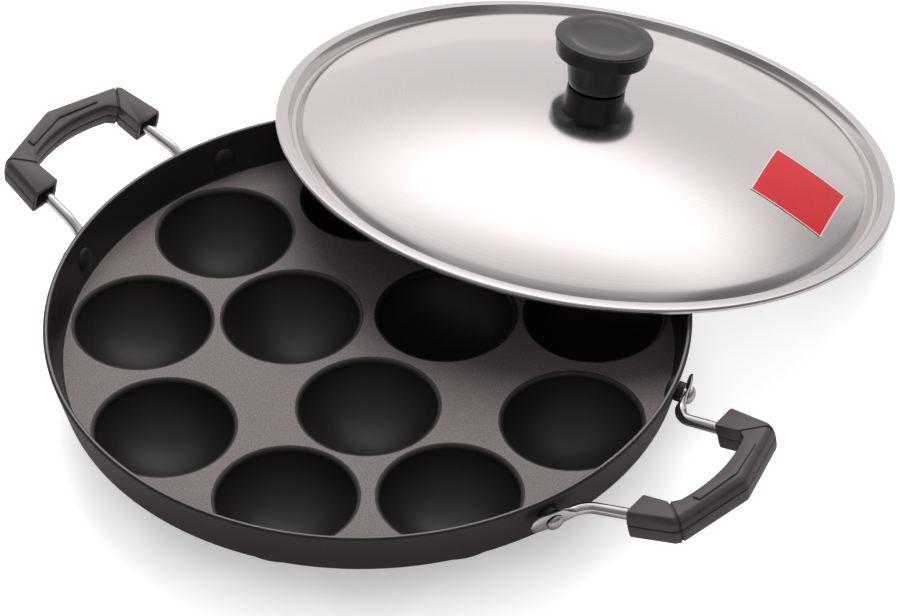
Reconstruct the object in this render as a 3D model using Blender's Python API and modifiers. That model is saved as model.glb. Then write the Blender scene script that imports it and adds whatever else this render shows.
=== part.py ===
"""Paniyaram pan: a cast pan with twelve round cavities, two riveted wire handles with moulded grips,
and a domed steel lid that leans on the pan's rim. Metres, +Z up, the plate's top face at z = 0."""

import math

import bmesh
import bpy
from mathutils import Matrix, Vector

# Gap kept between neighbouring pieces
CLEARANCE = 0.0003

# Cast pan
RIM_RADIUS = 0.1175
RIM_HEIGHT = 0.016
WALL_THICKNESS = 0.0021
WALL_FLARE = math.radians(13.9)
RIM_ROUNDING = 0.0006
PLATE_THICKNESS = 0.003
PLATE_FILLET = 0.0008
PAN_STEPS = 64

# Cavities: an outer ring and an inner ring of equal bowls
OUTER_COUNT = 9
OUTER_FIRST_ANGLE = math.radians(10)
OUTER_WEB = 0.00466
WALL_WEB = 0.0003
INNER_COUNT = 3
INNER_FIRST_ANGLE = math.radians(30)
INNER_WEB = 0.0038
LIP_RADIUS = 0.0019
CAVITY_FLATNESS = 0.004984581
BOWL_SIDE = 0.003515419
BOWL_BOTTOM = 0.0045
BOWL_CENTRE_HEIGHT = 0.007
BOWL_ROUND_END = math.radians(41.5)
BOWL_FOOT_RADIUS = 0.0065
CAVITY_STEPS = 20

# Wire handles: the angle of the rivets' middle, the angle of the grip and the side of the grip's raised pad
HANDLES = {
    "left": (math.radians(138.5), math.radians(138.1), "outer"),
    "right": (math.radians(-38), math.radians(-37.2), "inner"),
}
RIVET_SPREAD = math.radians(19.5)
RIVET_HEIGHT = 0.009
HANDLE_SLOPE = math.radians(14)
ROD_RADIUS = 0.0021
ROD_BEND_DISTANCE = 0.0125
ROD_ARM_DISTANCE = 0.0252
ROD_BEND_RADIUS = 0.0045
ROD_CORNER_RADIUS = 0.007
EYELET_LENGTH = 0.0148
EYELET_HEIGHT = 0.0092
EYELET_THICKNESS = 0.0018
SPACER_RADIUS = 0.0045
SPACER_LENGTH = 0.0026

# Rivets
RIVET_SHANK_RADIUS = 0.002
RIVET_OUTER_HEAD_RADIUS = 0.0033
RIVET_OUTER_HEAD_HEIGHT = 0.002
RIVET_INNER_HEAD_RADIUS = 0.0047
RIVET_INNER_HEAD_HEIGHT = 0.0016
RIVET_STEPS = 16

# Moulded grips, in the handle's own frame: u outwards from the wall, v sideways, h upwards
GRIP_HALF_HEIGHT = 0.0052
GRIP_CHAMFER = 0.0011
GRIP_WALL = 0.0005
GRIP_ARM_START = 0.0224
GRIP_ARM_INNER = 0.0215
GRIP_ARM_WIDTH = 0.0117
GRIP_ARM_TAPER = 0.0021
GRIP_CORNER = 0.0328
GRIP_CORNER_CUT = 0.0022
GRIP_BOW = 0.0038
GRIP_REACH = 0.0384
GRIP_SHOULDER = 0.0403
GRIP_ARC_STEPS = 8
POCKET_DEPTH = 0.0035
POCKET_WALL = 0.0021
PAD_WIDTH = 0.0042
PAD_HALF_LENGTH = 0.0165
PAD_BEND = 0.0026
PAD_HEIGHT = 0.0008
MITRE_WIDTH = 0.0007
MITRE_DEPTH = 0.0005

# Grip screws, driven from below
GRIP_SCREW_RADIUS = 0.0012
GRIP_SCREW_HEAD_RADIUS = 0.0018
GRIP_SCREW_HEAD_HEIGHT = 0.0012
GRIP_SCREW_REACH = 0.003
SCREW_SLOT_WIDTH = 0.0007
SCREW_SLOT_DEPTH = 0.0005
SCREW_STEPS = 16

# Steel lid, in its own frame: z = 0 at the flange's top face
LID_RADIUS = 0.119
LID_STEEL = 0.0007
FLANGE_WIDTH = 0.0046
HEM_DROP = 0.002
HEM_ROUNDING = 0.0007
GROOVE_DEPTH = 0.0039
GROOVE_FLOOR_WIDTH = 0.0015
GROOVE_OUTER_SLOPE = 0.0012
GROOVE_INNER_SLOPE = 0.0026
DOME_HEIGHT = 0.0262
DOME_EDGE_DROP = 0.0005
LID_HOLE_RADIUS = 0.0027
DOME_RINGS = 5
LID_STEPS = 60
LID_LEAN_AZIMUTH = math.radians(51.5)
LID_LEAN_DISTANCE = 0.133

# Lid knob and what fastens it
KNOB_BASE_RADIUS = 0.0112
KNOB_NECK_RADIUS = 0.0134
KNOB_NECK_HEIGHT = 0.0126
KNOB_HEAD_RADIUS = 0.0187
KNOB_HEAD_FOOT_RADIUS = 0.017
KNOB_HEAD_HEIGHT = 0.0078
KNOB_STEP = 0.0004
KNOB_EDGE = 0.0009
KNOB_DISH_RADIUS = 0.0132
KNOB_DISH_DEPTH = 0.0009
KNOB_STEPS = 32
INSERT_LENGTH = 0.01
INSERT_WALL = 0.0015
KNOB_SCREW_RADIUS = 0.0018
KNOB_SCREW_HEAD_RADIUS = 0.0038
KNOB_SCREW_HEAD_HEIGHT = 0.0022
WASHER_RADIUS = 0.0062
WASHER_THICKNESS = 0.0008

# Blank label on the lid
LABEL_SIZE = (0.0335, 0.0293)
LABEL_EDGE_GAP = 0.03390564
LABEL_AZIMUTH = math.radians(-76.95996)
LABEL_TURN = math.radians(17)
LABEL_THICKNESS = 0.0002
LABEL_CELLS = 6

# Colour, roughness and metallic value of each finish
FINISHES = {
    "nonstick": ((0.12, 0.105, 0.105), 0.5, 0.0),
    "bakelite": ((0.045, 0.035, 0.033), 0.35, 0.0),
    "knob_bakelite": ((0.02, 0.016, 0.015), 0.2, 0.0),
    "chrome": ((0.8, 0.8, 0.8), 0.12, 1.0),
    "satin_steel": ((0.7, 0.7, 0.7), 0.3, 1.0),
    "stainless": ((0.78, 0.77, 0.76), 0.18, 1.0),
    "black_spacer": ((0.02, 0.02, 0.02), 0.45, 0.0),
    "brass": ((0.75, 0.6, 0.3), 0.3, 1.0),
    "red_label": ((0.6, 0.02, 0.03), 0.4, 0.0),
}

# Values that follow from the sizes above
BEYOND = 0.004
CAVITY_STANDOFF = 0.0001
RIM_TAN = math.tan(WALL_FLARE)
HOLE_RADIUS = RIVET_SHANK_RADIUS + CLEARANCE
EYELET_CENTRE = CLEARANCE + SPACER_LENGTH + CLEARANCE + EYELET_THICKNESS / 2
CHANNEL_RADIUS = ROD_RADIUS + CLEARANCE
ROD_CROSS = GRIP_REACH + GRIP_WALL + CHANNEL_RADIUS
GRIP_SCREW_HOLE = GRIP_SCREW_RADIUS + CLEARANCE
GRIP_SCREW_U = ROD_CROSS + CHANNEL_RADIUS + GRIP_WALL + GRIP_SCREW_HOLE
GRIP_OUTER = GRIP_SCREW_U + GRIP_SCREW_HEAD_RADIUS + GRIP_CHAMFER + CLEARANCE


def wall_outer_radius(z):
    """Radius of the pan's outer wall at a height."""
    return RIM_RADIUS - (RIM_HEIGHT - z) * RIM_TAN


def wall_inner_radius(z):
    """Radius of the pan's inner wall at a height."""
    return wall_outer_radius(z) - WALL_THICKNESS


PLATE_RADIUS = wall_inner_radius(0) - PLATE_FILLET
CELL_SINE = math.sin(math.pi / OUTER_COUNT)
LIP_OUTER_RADIUS = ((PLATE_RADIUS - WALL_WEB) * CELL_SINE - OUTER_WEB / 2) / (1 + CELL_SINE)
MOUTH_RADIUS = LIP_OUTER_RADIUS - LIP_RADIUS
CAVITY_DEPTH = MOUTH_RADIUS - CAVITY_FLATNESS
BOWL_RADIUS = MOUTH_RADIUS + BOWL_SIDE
FLOOR_Z = -CAVITY_DEPTH - BOWL_BOTTOM
OUTER_RING_RADIUS = PLATE_RADIUS - WALL_WEB - LIP_OUTER_RADIUS
INNER_RING_RADIUS = (LIP_OUTER_RADIUS + INNER_WEB / 2) / math.sin(math.pi / INNER_COUNT)
GROOVE_OUTER = LID_RADIUS - FLANGE_WIDTH - LID_STEEL - GROOVE_OUTER_SLOPE
GROOVE_INNER = GROOVE_OUTER - GROOVE_FLOOR_WIDTH
DOME_RADIUS = GROOVE_INNER - GROOVE_INNER_SLOPE


def clear_scene():
    """Removes every object of the open scene."""
    for thing in list(bpy.data.objects):
        bpy.data.objects.remove(thing, do_unlink=True)


def make_collection(name):
    """Makes a collection in the scene."""
    group = bpy.data.collections.new(name)
    bpy.context.scene.collection.children.link(group)
    return group


def make_material(name):
    """Makes the Principled material of a finish."""
    colour, roughness, metallic = FINISHES[name]
    material = bpy.data.materials.new(name)
    material.use_nodes = True
    shader = material.node_tree.nodes["Principled BSDF"]
    shader.inputs["Base Color"].default_value = (*colour, 1.0)
    shader.inputs["Roughness"].default_value = roughness
    shader.inputs["Metallic"].default_value = metallic
    return material


def add_part(name, mesh, finish, matrix=None, parent=None):
    """Adds a mesh as one named piece with its finish."""
    part = bpy.data.objects.new(name, mesh)
    PARTS.objects.link(part)
    if not mesh.materials:
        mesh.materials.append(MATERIALS[finish])
    if parent:
        part.parent = parent
    part.matrix_local = matrix or Matrix()
    return part


def add_cutter(name, mesh, matrix=None):
    """Adds a mesh that only shapes other pieces."""
    cutter = bpy.data.objects.new(name, mesh)
    CUTTERS.objects.link(cutter)
    cutter.matrix_local = matrix or Matrix()
    cutter.hide_render = True
    cutter.display_type = "WIRE"
    return cutter


def boolean(part, operation, other):
    """Adds a live boolean to a piece."""
    step = part.modifiers.new(f"{operation.lower()}_{other.name}", "BOOLEAN")
    step.operation = operation
    step.solver = "EXACT"
    step.object = other


def shade(mesh, angle=35):
    """Shades round faces smooth and keeps the edges sharp."""
    mesh.shade_smooth()
    mesh.set_sharp_from_angle(angle=math.radians(angle))


def mesh_of(thing):
    """Evaluates a helper object to a new mesh, welds it and removes the helper."""
    bpy.context.view_layer.update()
    view = thing.evaluated_get(bpy.context.evaluated_depsgraph_get())
    mesh = bpy.data.meshes.new_from_object(view)
    bm = bmesh.new()
    bm.from_mesh(mesh)
    bmesh.ops.remove_doubles(bm, verts=bm.verts, dist=0.000001)
    bm.to_mesh(mesh)
    bm.free()
    bpy.data.objects.remove(thing, do_unlink=True)
    return mesh


def profile_mesh(name, points, closed=False):
    """Makes a chain of edges in the XZ plane, to be turned about Z."""
    edges = [(i, i + 1) for i in range(len(points) - 1)]
    if closed:
        edges.append((len(points) - 1, 0))
    mesh = bpy.data.meshes.new(name)
    mesh.from_pydata([(r, 0, z) for r, z in points], edges, [])
    return mesh


def add_screw(part, steps):
    """Turns a piece's profile about Z."""
    turn = part.modifiers.new("turn", "SCREW")
    turn.axis = "Z"
    turn.steps = steps
    turn.render_steps = steps
    turn.use_merge_vertices = True
    turn.merge_threshold = 0.000001
    turn.use_smooth_shade = True


def turned_mesh(name, points, steps, closed=False, capped=False):
    """Turns a profile to a mesh, with flat caps where it doesn't reach the axis."""
    helper = bpy.data.objects.new(name, profile_mesh(name, points, closed))
    bpy.context.scene.collection.objects.link(helper)
    add_screw(helper, steps)
    mesh = mesh_of(helper)
    if capped:
        bm = bmesh.new()
        bm.from_mesh(mesh)
        rims = [edge for edge in bm.edges if edge.is_boundary]
        bmesh.ops.holes_fill(bm, edges=rims, sides=0)
        bmesh.ops.recalc_face_normals(bm, faces=bm.faces)
        bm.to_mesh(mesh)
        bm.free()
    shade(mesh)
    return mesh


def arrange(name, mesh, matrices):
    """Joins copies of a mesh, one at each matrix, for a cutter of several bodies."""
    bm = bmesh.new()
    for matrix in matrices:
        start = len(bm.verts)
        bm.from_mesh(mesh)
        bm.verts.ensure_lookup_table()
        bmesh.ops.transform(bm, matrix=matrix, verts=bm.verts[start:])
    joined = bpy.data.meshes.new(name)
    bm.to_mesh(joined)
    bm.free()
    return joined


def slab_mesh(name, outline, low, high, chamfer=0):
    """Extrudes a closed outline from one height to another, with a chamfer round the top."""
    bm = bmesh.new()
    face = bm.faces.new([bm.verts.new((x, y, low)) for x, y in outline])
    raised = bmesh.ops.extrude_face_region(bm, geom=[face])["geom"]
    corners = [item for item in raised if isinstance(item, bmesh.types.BMVert)]
    bmesh.ops.translate(bm, vec=(0, 0, high - chamfer - low), verts=corners)
    bmesh.ops.recalc_face_normals(bm, faces=bm.faces)
    if chamfer:
        top = [item for item in raised if isinstance(item, bmesh.types.BMFace)]
        bmesh.ops.inset_region(bm, faces=top, thickness=chamfer, use_even_offset=True)
        bmesh.ops.translate(bm, vec=(0, 0, chamfer), verts=list({v for f in top for v in f.verts}))
    mesh = bpy.data.meshes.new(name)
    bm.to_mesh(mesh)
    bm.free()
    return mesh


def box_mesh(name, low, high):
    """Makes a box between two corners."""
    outline = [(low[0], low[1]), (high[0], low[1]), (high[0], high[1]), (low[0], high[1])]
    return slab_mesh(name, outline, low[2], high[2])


def frame_matrix(x_axis, y_axis, z_axis, origin):
    """Places a local frame by its axes and its origin."""
    turn = Matrix((x_axis, y_axis, z_axis)).transposed()
    return Matrix.Translation(origin) @ turn.to_4x4()


def ring_points(count, first_angle, radius):
    """Spreads points round the pan's axis."""
    step = 2 * math.pi / count
    return [(radius * math.cos(first_angle + i * step), radius * math.sin(first_angle + i * step))
            for i in range(count)]


def cavity_places():
    """Gives the centre of each cavity."""
    return (ring_points(OUTER_COUNT, OUTER_FIRST_ANGLE, OUTER_RING_RADIUS)
            + ring_points(INNER_COUNT, INNER_FIRST_ANGLE, INNER_RING_RADIUS))


def rivet_frame(angle):
    """Frame of a rivet: x along the wall, y up the wall, z out of the wall."""
    along = Vector((-math.sin(angle), math.cos(angle), 0))
    out = Vector((math.cos(WALL_FLARE) * math.cos(angle),
                  math.cos(WALL_FLARE) * math.sin(angle), -math.sin(WALL_FLARE)))
    radius = wall_outer_radius(RIVET_HEIGHT)
    origin = Vector((radius * math.cos(angle), radius * math.sin(angle), RIVET_HEIGHT))
    return frame_matrix(along, out.cross(along), out, origin)


def handle_frame(angle):
    """Frame of a handle: x outwards along its slope, y sideways, z up."""
    out = Vector((math.cos(HANDLE_SLOPE) * math.cos(angle),
                  math.cos(HANDLE_SLOPE) * math.sin(angle), math.sin(HANDLE_SLOPE)))
    side = Vector((-math.sin(angle), math.cos(angle), 0))
    radius = wall_outer_radius(RIVET_HEIGHT)
    height = RIVET_HEIGHT - EYELET_CENTRE * math.sin(WALL_FLARE)
    origin = Vector((radius * math.cos(angle), radius * math.sin(angle), height))
    return frame_matrix(out, side, out.cross(side), origin)


def tray_profile():
    """Section of the plate and the flared wall, from the plate's top to its underside."""
    fillet = [(PLATE_RADIUS + PLATE_FILLET * math.sin(a), PLATE_FILLET * (1 - math.cos(a)))
              for a in (0, math.radians(45), math.radians(80))]
    low = -(PLATE_THICKNESS - PLATE_FILLET)
    return fillet + [
        (wall_inner_radius(RIM_HEIGHT - RIM_ROUNDING), RIM_HEIGHT - RIM_ROUNDING),
        (wall_inner_radius(RIM_HEIGHT) + RIM_ROUNDING * 0.7, RIM_HEIGHT),
        (RIM_RADIUS - RIM_ROUNDING, RIM_HEIGHT),
        (wall_outer_radius(RIM_HEIGHT - RIM_ROUNDING), RIM_HEIGHT - RIM_ROUNDING),
        (wall_outer_radius(low), low),
        (wall_outer_radius(low) - PLATE_FILLET, -PLATE_THICKNESS),
    ]


def cavity_profile():
    """Section of one cavity with its rounded lip, from above the plate to the bottom."""
    top = LIP_OUTER_RADIUS + CAVITY_STANDOFF
    lip = [(LIP_OUTER_RADIUS + LIP_RADIUS * math.cos(a), LIP_RADIUS * (math.sin(a) - 1))
           for a in map(math.radians, (110, 132, 156))]
    drop = CAVITY_DEPTH - LIP_RADIUS
    sphere = (MOUTH_RADIUS ** 2 + drop ** 2) / (2 * drop)
    reach = math.asin(MOUTH_RADIUS / sphere)
    bowl = [(sphere * math.sin(reach * part), sphere * (1 - math.cos(reach * part)) - CAVITY_DEPTH)
            for part in (1, 0.75, 0.5, 0.25)]
    return [(0, BEYOND), (top, BEYOND), (top, CAVITY_STANDOFF)] + lip + bowl + [(0, -CAVITY_DEPTH)]


def bowl_profile():
    """Section of one bowl's outside, from inside the plate to its flat foot."""
    top = -PLATE_THICKNESS / 2
    start = math.acos((BOWL_CENTRE_HEIGHT - top) / BOWL_RADIUS)
    angles = [start + (BOWL_ROUND_END - start) * i / 4 for i in range(5)]
    bowl = [(BOWL_RADIUS * math.sin(a), BOWL_CENTRE_HEIGHT - BOWL_RADIUS * math.cos(a)) for a in angles]
    return [(0, top)] + bowl + [(BOWL_FOOT_RADIUS, FLOOR_Z), (0, FLOOR_Z)]


def make_pan():
    """Casts the pan: a flared tray, twelve bowls under it, their cavities and the rivet holes."""
    tray = turned_mesh("pan_body", tray_profile(), PAN_STEPS, capped=True)
    pan = add_part("pan_body", tray, "nonstick")
    places = [Matrix.Translation((x, y, 0)) for x, y in cavity_places()]
    bowl = turned_mesh("bowl", bowl_profile(), CAVITY_STEPS)
    cavity = turned_mesh("cavity", cavity_profile(), CAVITY_STEPS)
    boolean(pan, "UNION", add_cutter("bowls", arrange("bowls", bowl, places)))
    boolean(pan, "DIFFERENCE", add_cutter("cavities", arrange("cavities", cavity, places)))
    boolean(pan, "DIFFERENCE", RIVET_HOLES)


def rivet_angles(angle):
    """Angles of a handle's two rivets."""
    return {"front": angle - RIVET_SPREAD, "rear": angle + RIVET_SPREAD}


def make_rivet_holes():
    """Makes the cutter of all four rivet holes."""
    hole = [(0, EYELET_CENTRE + BEYOND), (HOLE_RADIUS, EYELET_CENTRE + BEYOND),
            (HOLE_RADIUS, -WALL_THICKNESS - BEYOND), (0, -WALL_THICKNESS - BEYOND)]
    mesh = turned_mesh("rivet_hole", hole, RIVET_STEPS)
    frames = [rivet_frame(a) for angle, _, _ in HANDLES.values() for a in rivet_angles(angle).values()]
    return add_cutter("rivet_holes", arrange("rivet_holes", mesh, frames))


def rivet_profile():
    """Section of a set rivet: outer dome, shank and inner dome."""
    outer = EYELET_CENTRE + EYELET_THICKNESS / 2 + CLEARANCE
    inner = -(WALL_THICKNESS * math.cos(WALL_FLARE) + CLEARANCE)
    dome = [(RIVET_OUTER_HEAD_RADIUS * math.sin(a), outer + RIVET_OUTER_HEAD_HEIGHT * math.cos(a))
            for a in map(math.radians, (0, 35, 65, 90))]
    head = [(RIVET_INNER_HEAD_RADIUS * math.cos(a), inner - RIVET_INNER_HEAD_HEIGHT * math.sin(a))
            for a in map(math.radians, (0, 30, 60, 90))]
    return dome + [(RIVET_SHANK_RADIUS, outer), (RIVET_SHANK_RADIUS, inner)] + head


def spacer_profile():
    """Section of the round spacer between the wall and the eyelet."""
    low = CLEARANCE
    high = CLEARANCE + SPACER_LENGTH
    return [(HOLE_RADIUS, high), (SPACER_RADIUS, high), (SPACER_RADIUS, low), (HOLE_RADIUS, low)]


def fillet_path(points, radii, steps=6):
    """Rounds the inner corners of a path, each by its own bend radius."""
    path = [points[0]]
    for before, corner, after, radius in zip(points, points[1:], points[2:], radii):
        to_before = (before - corner).normalized()
        to_after = (after - corner).normalized()
        half = to_before.angle(to_after) / 2
        setback = radius / math.tan(half)
        centre = corner + (to_before + to_after).normalized() * (radius / math.sin(half))
        start = (corner + to_before * setback - centre).normalized()
        end = (corner + to_after * setback - centre).normalized()
        path += [centre + start.slerp(end, i / steps) * radius for i in range(steps + 1)]
    return path + [points[-1]]


def rod_path(angle, grip_angle):
    """Centre line of a handle's wire, from one eyelet round through the grip to the other."""
    frame = handle_frame(grip_angle)
    ends = []
    for side, rivet in ((-1, angle - RIVET_SPREAD), (1, angle + RIVET_SPREAD)):
        place = rivet_frame(rivet)
        start = place @ Vector((-side * (SPACER_RADIUS + CLEARANCE), 0, EYELET_CENTRE))
        bend = place @ Vector((-side * ROD_BEND_DISTANCE, 0, EYELET_CENTRE))
        ends.append([start, bend, frame @ Vector((ROD_CROSS, side * ROD_ARM_DISTANCE, 0))])
    corners = ends[0] + ends[1][::-1]
    return fillet_path(corners, (ROD_BEND_RADIUS, ROD_CORNER_RADIUS, ROD_CORNER_RADIUS, ROD_BEND_RADIUS))


def tube_mesh(name, path, radius):
    """Makes a round tube along a path, with closed ends."""
    curve = bpy.data.curves.new(name, "CURVE")
    curve.dimensions = "3D"
    curve.bevel_depth = radius
    curve.bevel_resolution = 2
    curve.use_fill_caps = True
    spline = curve.splines.new("POLY")
    spline.points.add(len(path) - 1)
    for point, place in zip(spline.points, path):
        point.co = (*place, 1)
    helper = bpy.data.objects.new(name, curve)
    bpy.context.scene.collection.objects.link(helper)
    mesh = mesh_of(helper)
    shade(mesh)
    return mesh


def eyelet_outline():
    """Outline of a flattened wire end: two half circles joined by straight sides."""
    radius = EYELET_HEIGHT / 2
    reach = EYELET_LENGTH / 2 - radius
    right = [(reach + radius * math.sin(a), -radius * math.cos(a))
             for a in (math.pi * i / 8 for i in range(9))]
    return right + [(-x, -y) for x, y in right]


def make_rod(side, angle, path):
    """Bends one handle's wire and flattens its two ends into eyelets."""
    rod = add_part(f"{side}_handle_rod", tube_mesh("rod", path, ROD_RADIUS), "chrome")
    low = EYELET_CENTRE - EYELET_THICKNESS / 2
    eyelet = slab_mesh("eyelet", eyelet_outline(), low, low + EYELET_THICKNESS)
    frames = [rivet_frame(a) for a in rivet_angles(angle).values()]
    boolean(rod, "UNION", add_cutter(f"{side}_eyelets", arrange("eyelets", eyelet, frames)))
    boolean(rod, "DIFFERENCE", RIVET_HOLES)


def grip_inner_edge(v):
    """Distance of the cross bar's inner edge from the wall, bowed outwards at the middle."""
    return GRIP_REACH - GRIP_BOW * (v / GRIP_ARM_INNER) ** 2


def grip_outline():
    """Outline of a grip seen from above: two arms, a bowed inner edge and a bent outer edge."""
    span = GRIP_ARM_INNER - GRIP_ARM_TAPER / 2
    arc = [span * (1 - 2 * i / GRIP_ARC_STEPS) for i in range(GRIP_ARC_STEPS + 1)]
    outer = GRIP_ARM_INNER + GRIP_ARM_WIDTH
    half = [(GRIP_ARM_START, outer), (GRIP_SHOULDER, outer - GRIP_ARM_TAPER),
            (GRIP_SHOULDER + GRIP_CORNER_CUT, outer - GRIP_ARM_TAPER - GRIP_CORNER_CUT)]
    back = [(u, -v) for u, v in half]
    inner = [(GRIP_CORNER, GRIP_ARM_INNER), (GRIP_ARM_START, GRIP_ARM_INNER)]
    return (back + [(GRIP_OUTER, 0)] + half[::-1] + inner[::-1]
            + [(grip_inner_edge(v), v) for v in arc] + [(u, -v) for u, v in inner])


def pad_outline(place):
    """Outline of the raised pad along a grip's cross bar, bent as the bar is."""
    line = GRIP_SCREW_U - GRIP_SCREW_HOLE
    near, far = (-PAD_WIDTH, 0) if place == "inner" else (0, PAD_WIDTH - GRIP_CHAMFER)
    end = line - PAD_BEND
    return [(end + near, -PAD_HALF_LENGTH), (end + far, -PAD_HALF_LENGTH), (line + far, 0),
            (end + far, PAD_HALF_LENGTH), (end + near, PAD_HALF_LENGTH), (line + near, 0)]


def pocket_mesh():
    """Makes the cutter of the open ends of a grip's two arms."""
    top = GRIP_HALF_HEIGHT - POCKET_WALL
    low = (GRIP_ARM_START - BEYOND, GRIP_ARM_INNER + POCKET_WALL, -top)
    high = (GRIP_ARM_START + POCKET_DEPTH, GRIP_ARM_INNER + GRIP_ARM_WIDTH - POCKET_WALL, top)
    pocket = box_mesh("pocket", low, high)
    return arrange("pockets", pocket, [Matrix(), Matrix.Rotation(math.pi, 4, "X")])


def mitre_mesh():
    """Makes the cutter of the two shallow grooves across a grip's corners."""
    inner = Vector((GRIP_CORNER, GRIP_ARM_INNER))
    outer = Vector((GRIP_SHOULDER + GRIP_CORNER_CUT / 2, GRIP_ARM_INNER + GRIP_ARM_WIDTH - GRIP_ARM_TAPER))
    run = outer - inner
    low = (-BEYOND, -MITRE_WIDTH / 2, GRIP_HALF_HEIGHT - MITRE_DEPTH)
    groove = box_mesh("mitre", low, (run.length + BEYOND, MITRE_WIDTH / 2, GRIP_HALF_HEIGHT + BEYOND))
    places = []
    for side in (1, -1):
        turn = math.atan2(side * run.y, run.x)
        places.append(Matrix.Translation((inner.x, side * inner.y, 0)) @ Matrix.Rotation(turn, 4, "Z"))
    return arrange("mitres", groove, places)


def make_grip(side, frame, path, pad_place):
    """Moulds a grip's two halves round the wire and drives its screw."""
    channel = add_cutter(f"{side}_channel", tube_mesh("channel", path, CHANNEL_RADIUS))
    pockets = add_cutter(f"{side}_pockets", pocket_mesh(), frame)
    hole = [(0, GRIP_SCREW_REACH + CLEARANCE), (GRIP_SCREW_HOLE, GRIP_SCREW_REACH + CLEARANCE),
            (GRIP_SCREW_HOLE, -GRIP_HALF_HEIGHT - BEYOND), (0, -GRIP_HALF_HEIGHT - BEYOND)]
    screw_frame = frame @ Matrix.Translation((GRIP_SCREW_U, 0, 0))
    screw_hole = add_cutter(f"{side}_screw_hole", turned_mesh("screw_hole", hole, SCREW_STEPS), screw_frame)
    half = slab_mesh("grip_half", grip_outline(), CLEARANCE / 2, GRIP_HALF_HEIGHT, GRIP_CHAMFER)
    upper = add_part(f"{side}_grip_upper", half, "bakelite", frame)
    turned_over = arrange("grip_lower", half, [Matrix.Rotation(math.pi, 4, "X")])
    lower = add_part(f"{side}_grip_lower", turned_over, "bakelite", frame)
    pad_levels = (GRIP_HALF_HEIGHT - GRIP_WALL, GRIP_HALF_HEIGHT + PAD_HEIGHT)
    pad = slab_mesh("pad", pad_outline(pad_place), *pad_levels)
    boolean(upper, "DIFFERENCE", add_cutter(f"{side}_mitres", mitre_mesh(), frame))
    boolean(upper, "UNION", add_cutter(f"{side}_pad", pad, frame))
    for part in (upper, lower):
        for cutter in (channel, pockets, screw_hole):
            boolean(part, "DIFFERENCE", cutter)
    base = -GRIP_HALF_HEIGHT - CLEARANCE
    head = base - GRIP_SCREW_HEAD_HEIGHT
    make_screw(f"{side}_grip_screw", GRIP_SCREW_RADIUS, GRIP_SCREW_HEAD_RADIUS,
               (GRIP_SCREW_REACH, base, head), screw_frame, None)


def make_screw(name, radius, head_radius, levels, matrix, parent):
    """Turns a screw that points up, with a slotted head below."""
    tip, base, head = levels
    crown = base - (base - head) / 2
    profile = [(0, tip), (radius, tip), (radius, base), (head_radius, base),
               (head_radius, crown), (head_radius * 0.7, head), (0, head)]
    screw = add_part(name, turned_mesh(name, profile, SCREW_STEPS), "satin_steel", matrix, parent)
    reach = head_radius + CLEARANCE
    slot = box_mesh("slot", (-reach, -SCREW_SLOT_WIDTH / 2, head - CLEARANCE),
                    (reach, SCREW_SLOT_WIDTH / 2, head + SCREW_SLOT_DEPTH))
    cutter = add_cutter(f"{name}_slot", slot, matrix)
    cutter.parent = parent
    boolean(screw, "DIFFERENCE", cutter)


def make_handle(side, angle, grip_angle, pad_place):
    """Assembles one handle: wire, grip, spacers and rivets."""
    path = rod_path(angle, grip_angle)
    make_rod(side, angle, path)
    make_grip(side, handle_frame(grip_angle), path, pad_place)
    for end, rivet in rivet_angles(angle).items():
        place = rivet_frame(rivet)
        add_part(f"{side}_rivet_{end}", RIVET_MESH, "satin_steel", place)
        add_part(f"{side}_spacer_{end}", SPACER_MESH, "black_spacer", place)


def dome_height(radius):
    """Height of the lid's dome at a distance from its axis."""
    rise = DOME_HEIGHT + DOME_EDGE_DROP
    sphere = (DOME_RADIUS ** 2 + rise ** 2) / (2 * rise)
    return DOME_HEIGHT - sphere + math.sqrt(sphere ** 2 - radius ** 2)


def lid_profile():
    """Section of the lid's upper face: dome, groove, flange and turned-down hem."""
    step = (DOME_RADIUS - LID_HOLE_RADIUS) / DOME_RINGS
    dome = [(r, dome_height(r)) for r in (LID_HOLE_RADIUS + i * step for i in range(DOME_RINGS + 1))]
    flange = LID_RADIUS - FLANGE_WIDTH
    return dome + [
        (GROOVE_INNER, -GROOVE_DEPTH), (GROOVE_OUTER, -GROOVE_DEPTH),
        (GROOVE_OUTER + GROOVE_OUTER_SLOPE, -LID_STEEL), (flange, 0),
        (LID_RADIUS - HEM_ROUNDING, 0), (LID_RADIUS, -HEM_ROUNDING), (LID_RADIUS, -HEM_DROP),
    ]


def lid_axes(tilt):
    """Axes of the lid's frame: downhill, sideways and out of its top."""
    azimuth = LID_LEAN_AZIMUTH
    down = Vector((math.cos(tilt) * math.cos(azimuth), math.cos(tilt) * math.sin(azimuth), -math.sin(tilt)))
    side = Vector((-math.sin(azimuth), math.cos(azimuth), 0))
    return down, side, down.cross(side)


def lid_centre(tilt):
    """Centre of the flange when the lid's lowest point is just above the floor."""
    corners = ((LID_RADIUS, HEM_DROP), (GROOVE_OUTER + LID_STEEL, GROOVE_DEPTH + LID_STEEL))
    reach = max(radius * math.sin(tilt) + drop * math.cos(tilt) for radius, drop in corners)
    return Vector((LID_LEAN_DISTANCE * math.cos(LID_LEAN_AZIMUTH),
                   LID_LEAN_DISTANCE * math.sin(LID_LEAN_AZIMUTH), FLOOR_Z + CLEARANCE + reach))


def rim_gap(tilt):
    """Height of the lid's groove over the pan's rim where the two cross."""
    down, side, up = lid_axes(tilt)
    centre = lid_centre(tilt)
    seat = GROOVE_INNER - LID_STEEL
    depth = GROOVE_DEPTH + LID_STEEL
    low, high = 0.0, math.pi
    for _ in range(60):
        angle = (low + high) / 2
        point = centre + seat * (math.cos(angle) * down + math.sin(angle) * side) - depth * up
        if point.xy.length > RIM_RADIUS - RIM_ROUNDING / 2:
            low = angle
        else:
            high = angle
    return point.z - RIM_HEIGHT


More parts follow.
